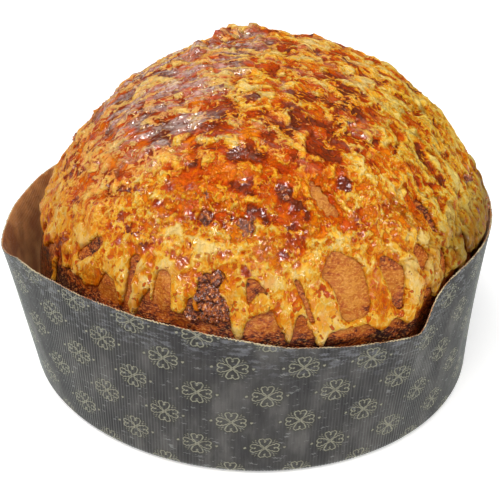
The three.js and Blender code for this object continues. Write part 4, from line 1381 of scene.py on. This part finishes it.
broad_streaks, fine_streaks = streaks(2.6, 4), streaks(1.1, 3)
string = between(absolute(streaks(3.0, 3, 0.7)), 0.062, 0.014)
pit = between(grain(3.0, 1.5, (1, 1, 0.55)), 0.61, 0.645)
drawn_out = add("ShaderNodeMapping", Vector=arcs, Scale=(0.42, 1, 0.42)).outputs[0]
band = times(between(along_arcs(3.4, 3.0, 0.5, drawn_out), 0.45, 0.6), sheet)
threads = times(
    plus(times(broad_streaks, 2.8), fine_streaks),
    plus(times(high, 0.35), 1.0),
    minus(1.0, times(smooth, 0.5)),
    minus(1.0, times(low, 0.6)),
)
shade = minus(
    plus(cream, threads, times(string, 0.85)),
    times(pit, 1.1),
    times(wet, plus(times(low, 1.3), 0.4)),
    times(band, 0.8),
)
print("streaks, strings and bands take", len(tree.nodes), "nodes")

# %% Film and body
beside_body = between(shade, -1.4, -0.4)
tone = plus(dark, times(broad_streaks, 1.5), times(fine_streaks, 0.8), times(wet, 0.1))
film = ramp(minus(tone, times(beside_body, 0.22)), (0.0, 234, 128, 6), (0.25, 220, 96, 4), (0.5, 198, 70, 4),
            (0.72, 156, 56, 14), (1.0, 112, 48, 26))
stain = times(minus(grain(7, 3, (1, 1, 0.6)), 0.42), 2.2)
paleness = between(minus(shade, most(stain, 0.0), amber), -0.7, 1.7)
body = ramp(paleness, (0.0, 208, 96, 2), (0.2, 226, 126, 8), (0.4, 240, 163, 28), (0.65, 249, 196, 70),
            (1.0, 252, 217, 136))
film = layered(film, (wet, 0.35, (124, 40, 20)))
body = layered(body, (times(left, minus(1.0, low)), 0.4, (234, 182, 116)), (sheet, 0.35, (242, 202, 142)))
crisp = plus(times(low, 1.6), 2.0)
cover = between(times(plus(shade, 0.3), crisp), -0.5, 0.5)
print("film and body bring it to", len(tree.nodes), "nodes")

# %% Seams, grit, stains, spots, and painted shade and highlights
# darker seams where the cream meets the film, stronger at the left: partly the caramel's own darker edge,
# partly painted shade in the creases
edge_and_crease_shade = times(between(absolute(plus(shade, 0.45)), 0.28, 0.0), plus(times(left, 0.3), 0.5))
grit = grain(0.75, 2)
above = minus(1.0, times(low, 0.75))
crumbly = times(between(grit, 0.42, 0.3), above)
# pale flecks on the thick cream: painted highlights on its crests
painted_highlight_flecks = times(between(grit, 0.56, 0.72), cover, above)
shaded = times(between(grain(5, 3, (1, 1, 0.6)), 0.5, 0.62), low)
golden = times(between(grain(5.5, 2, (1, 1, 0.6)), 0.5, 0.68), most(low, left))
spots = grain(2.8, 1.5, (1, 1, 0.8))
outline, toffee = (times(between(spots, start, start + 0.025), low) for start in (0.635, 0.655))
mirrored = mixed(between(fine_streaks, -0.12, 0.12), (132, 76, 52), (208, 176, 154))
colour = layered(
    mixed(cover, film, body),
    # seams: partly the caramel's own darker edge, partly painted shade
    (edge_and_crease_shade, 1.0, (208, 120, 76), "MULTIPLY"),
    # the folds darkened with painted shade
    (fold, 0.8, (162, 118, 88), "MULTIPLY"),
    (crumbly, 0.35, (188, 140, 84), "MULTIPLY"),
    # pale flecks: painted highlights
    (painted_highlight_flecks, 0.55, (255, 226, 170)),
    (shaded, 0.5, (226, 226, 170), "MULTIPLY"),
    (golden, 0.55, (234, 138, 16)),
    (outline, 0.8, (128, 62, 22)),
    (toffee, 1.0, (208, 92, 10)),
    (amber, 1.2, (255, 232, 96), "MULTIPLY"),
    (band, 0.6, mirrored),
    # the lower left darker and browner: partly the caramel's own colour, partly painted shade
    (times(left, low), 0.5, (226, 198, 138), "MULTIPLY"),
    (right, 0.8, (244, 248, 210), "MULTIPLY"),
    # the lower right darkened: painted shade
    (times(right, low), 1.0, (180, 174, 148), "MULTIPLY"),
    # the whole lower belt a little darker: painted shade
    (low, 1.0, (232, 226, 220), "MULTIPLY"),
)
print("the layers of colour bring it to", len(tree.nodes), "nodes")

# %% Gloss and bumps
beads = times(between(grain(1.4, 3), 0.49, 0.57), wet)
gloss = times(between(grain(2.4, 4), 0.5, 0.6), plus(times(low, 0.25), 0.02))
drops = times(grain(2.3, 1), 2.6)
fill(
    shader,
    Base_Color=colour,
    Roughness=between(shade, -0.6, 0.6, 0.35, 0.55),
    Specular_IOR_Level=0.03,
    Coat_Weight=most(band, beads, gloss),
    Coat_Roughness=0.04,
    Coat_IOR=1.8,
    Normal=bump(shade, minus(0.9, times(low, 0.4)), 0.8),
    Coat_Normal=bump(drops, 0.7, 0.7),
)
caramel.data.materials.clear()
caramel.data.materials.append(caramel_finish)
print("the caramel's finish has", len(tree.nodes), "nodes")

# %% [markdown]
# ## Floor, light and camera
# The loaf stands on a plain white floor in soft light. A broad pale sky keeps the shadows open, and three
# soft lamps, in front, at the top left and at the right, shape the dome. Two kinds of lamp are seen by glossy
# surfaces only: one behind at the left, for the pale sheen on the far shoulder, and seven small ones for the
# glints on the wet caramel. One lamp for everything would either wash out the paper or lose the glints.

# %% The floor
FLOOR_REACH, FLOOR_DROP = 3000, 0.05
corners = [(x * FLOOR_REACH, y * FLOOR_REACH, -FLOOR_DROP) for x, y in ((-1, -1), (1, -1), (1, 1), (-1, 1))]
floor = make_piece("floor", corners, [(0, 1, 2, 3)])
white, tree, shader = new_material("white_floor")
fill(
    shader,
    Base_Color=(0.86, 0.86, 0.86, 1),
    Roughness=0.9,
    Emission_Color=(1, 1, 1, 1),
    Emission_Strength=0.45,
)
floor.data.materials.append(white)

# %% The lights
LAMPS_FACE = Vector((0, 0, 0.08))
SPARKLES = ((-150, 42), (-112, 42), (-78, 42), (-40, 42), (-122, 18), (-62, 18), (-98, 64))


def lamp(name, azimuth, height, away, size, power, colour, diffuse=True, glossy=True):
    """A square soft lamp that faces the loaf, from a direction in degrees and a distance in metres."""
    place = Vector(direction(azimuth, height)) * away + LAMPS_FACE
    data = bpy.data.lights.new(name, "AREA")
    data.size = size
    data.energy = power
    data.color = colour
    made = bpy.data.objects.new(name, data)
    made.location = place
    made.rotation_euler = (LAMPS_FACE - place).to_track_quat("-Z", "Y").to_euler()
    made.visible_diffuse = diffuse
    made.visible_glossy = glossy
    bpy.context.scene.collection.objects.link(made)


world = bpy.data.worlds.new("pale_sky")
bpy.context.scene.world = world
world.use_nodes = True
fill(world.node_tree.nodes["Background"], Color=(0.97, 0.98, 1.0, 1), Strength=0.4)
world.cycles_visibility.glossy = False
lamp("broad_front_lamp", -116, 58, 1.3, 0.6, 9.6, (1.0, 0.98, 0.95), glossy=False)
lamp("top_left_lamp", 160, 60, 1.2, 0.8, 3.0, (1.0, 1.0, 1.0), glossy=False)
lamp("right_fill", -15, 34, 1.4, 0.8, 4.5, (1.0, 1.0, 0.96), glossy=False)
lamp("sheen_lamp", 140, 42, 1.1, 1.2, 8, (0.97, 0.94, 0.95), diffuse=False)
for azimuth, height in SPARKLES:
    lamp(f"sparkle_lamp_{-azimuth}", azimuth, height, 1.0, 0.2, 4.2, (1.0, 0.9, 0.86), diffuse=False)
print(len(bpy.data.lights), "lamps")

# %% The camera
camera_data = bpy.data.cameras.new("photo_camera")
camera_data.sensor_width = 36
camera_data.lens = FOCAL / PHOTO_SIDE * camera_data.sensor_width
camera = bpy.data.objects.new("photo_camera", camera_data)
camera.location = CAMERA_PLACE * MM
camera.rotation_euler = Matrix((RIGHTWARDS, UPWARDS, -SIGHT)).transposed().to_euler()
bpy.context.scene.collection.objects.link(camera)
bpy.context.scene.camera = camera
bpy.context.scene.view_settings.view_transform = "Standard"
print("camera at", (CAMERA_PLACE * MM).round(3), "with a lens of", round(camera_data.lens, 1), "mm")

# %% [markdown]
# ## Joining the pieces to the frame
# Each piece is attached to the body it rides on, and the solid of the CAD model that it stands for is hidden.
# Food has no joints, so everything rides on the root. The crags are part of the loaf, as they are in the CAD
# model, where they are fused to it.

# %% Bodies and solids
for piece, node, slot in (
    (paper_case, "paper_case", "case_paper"),
    (loaf, "loaf", "crust"),
    (crags, "loaf", "crust"),
    (caramel, "caramel_glaze", "caramel"),
):
    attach(piece, "root")
    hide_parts(node)
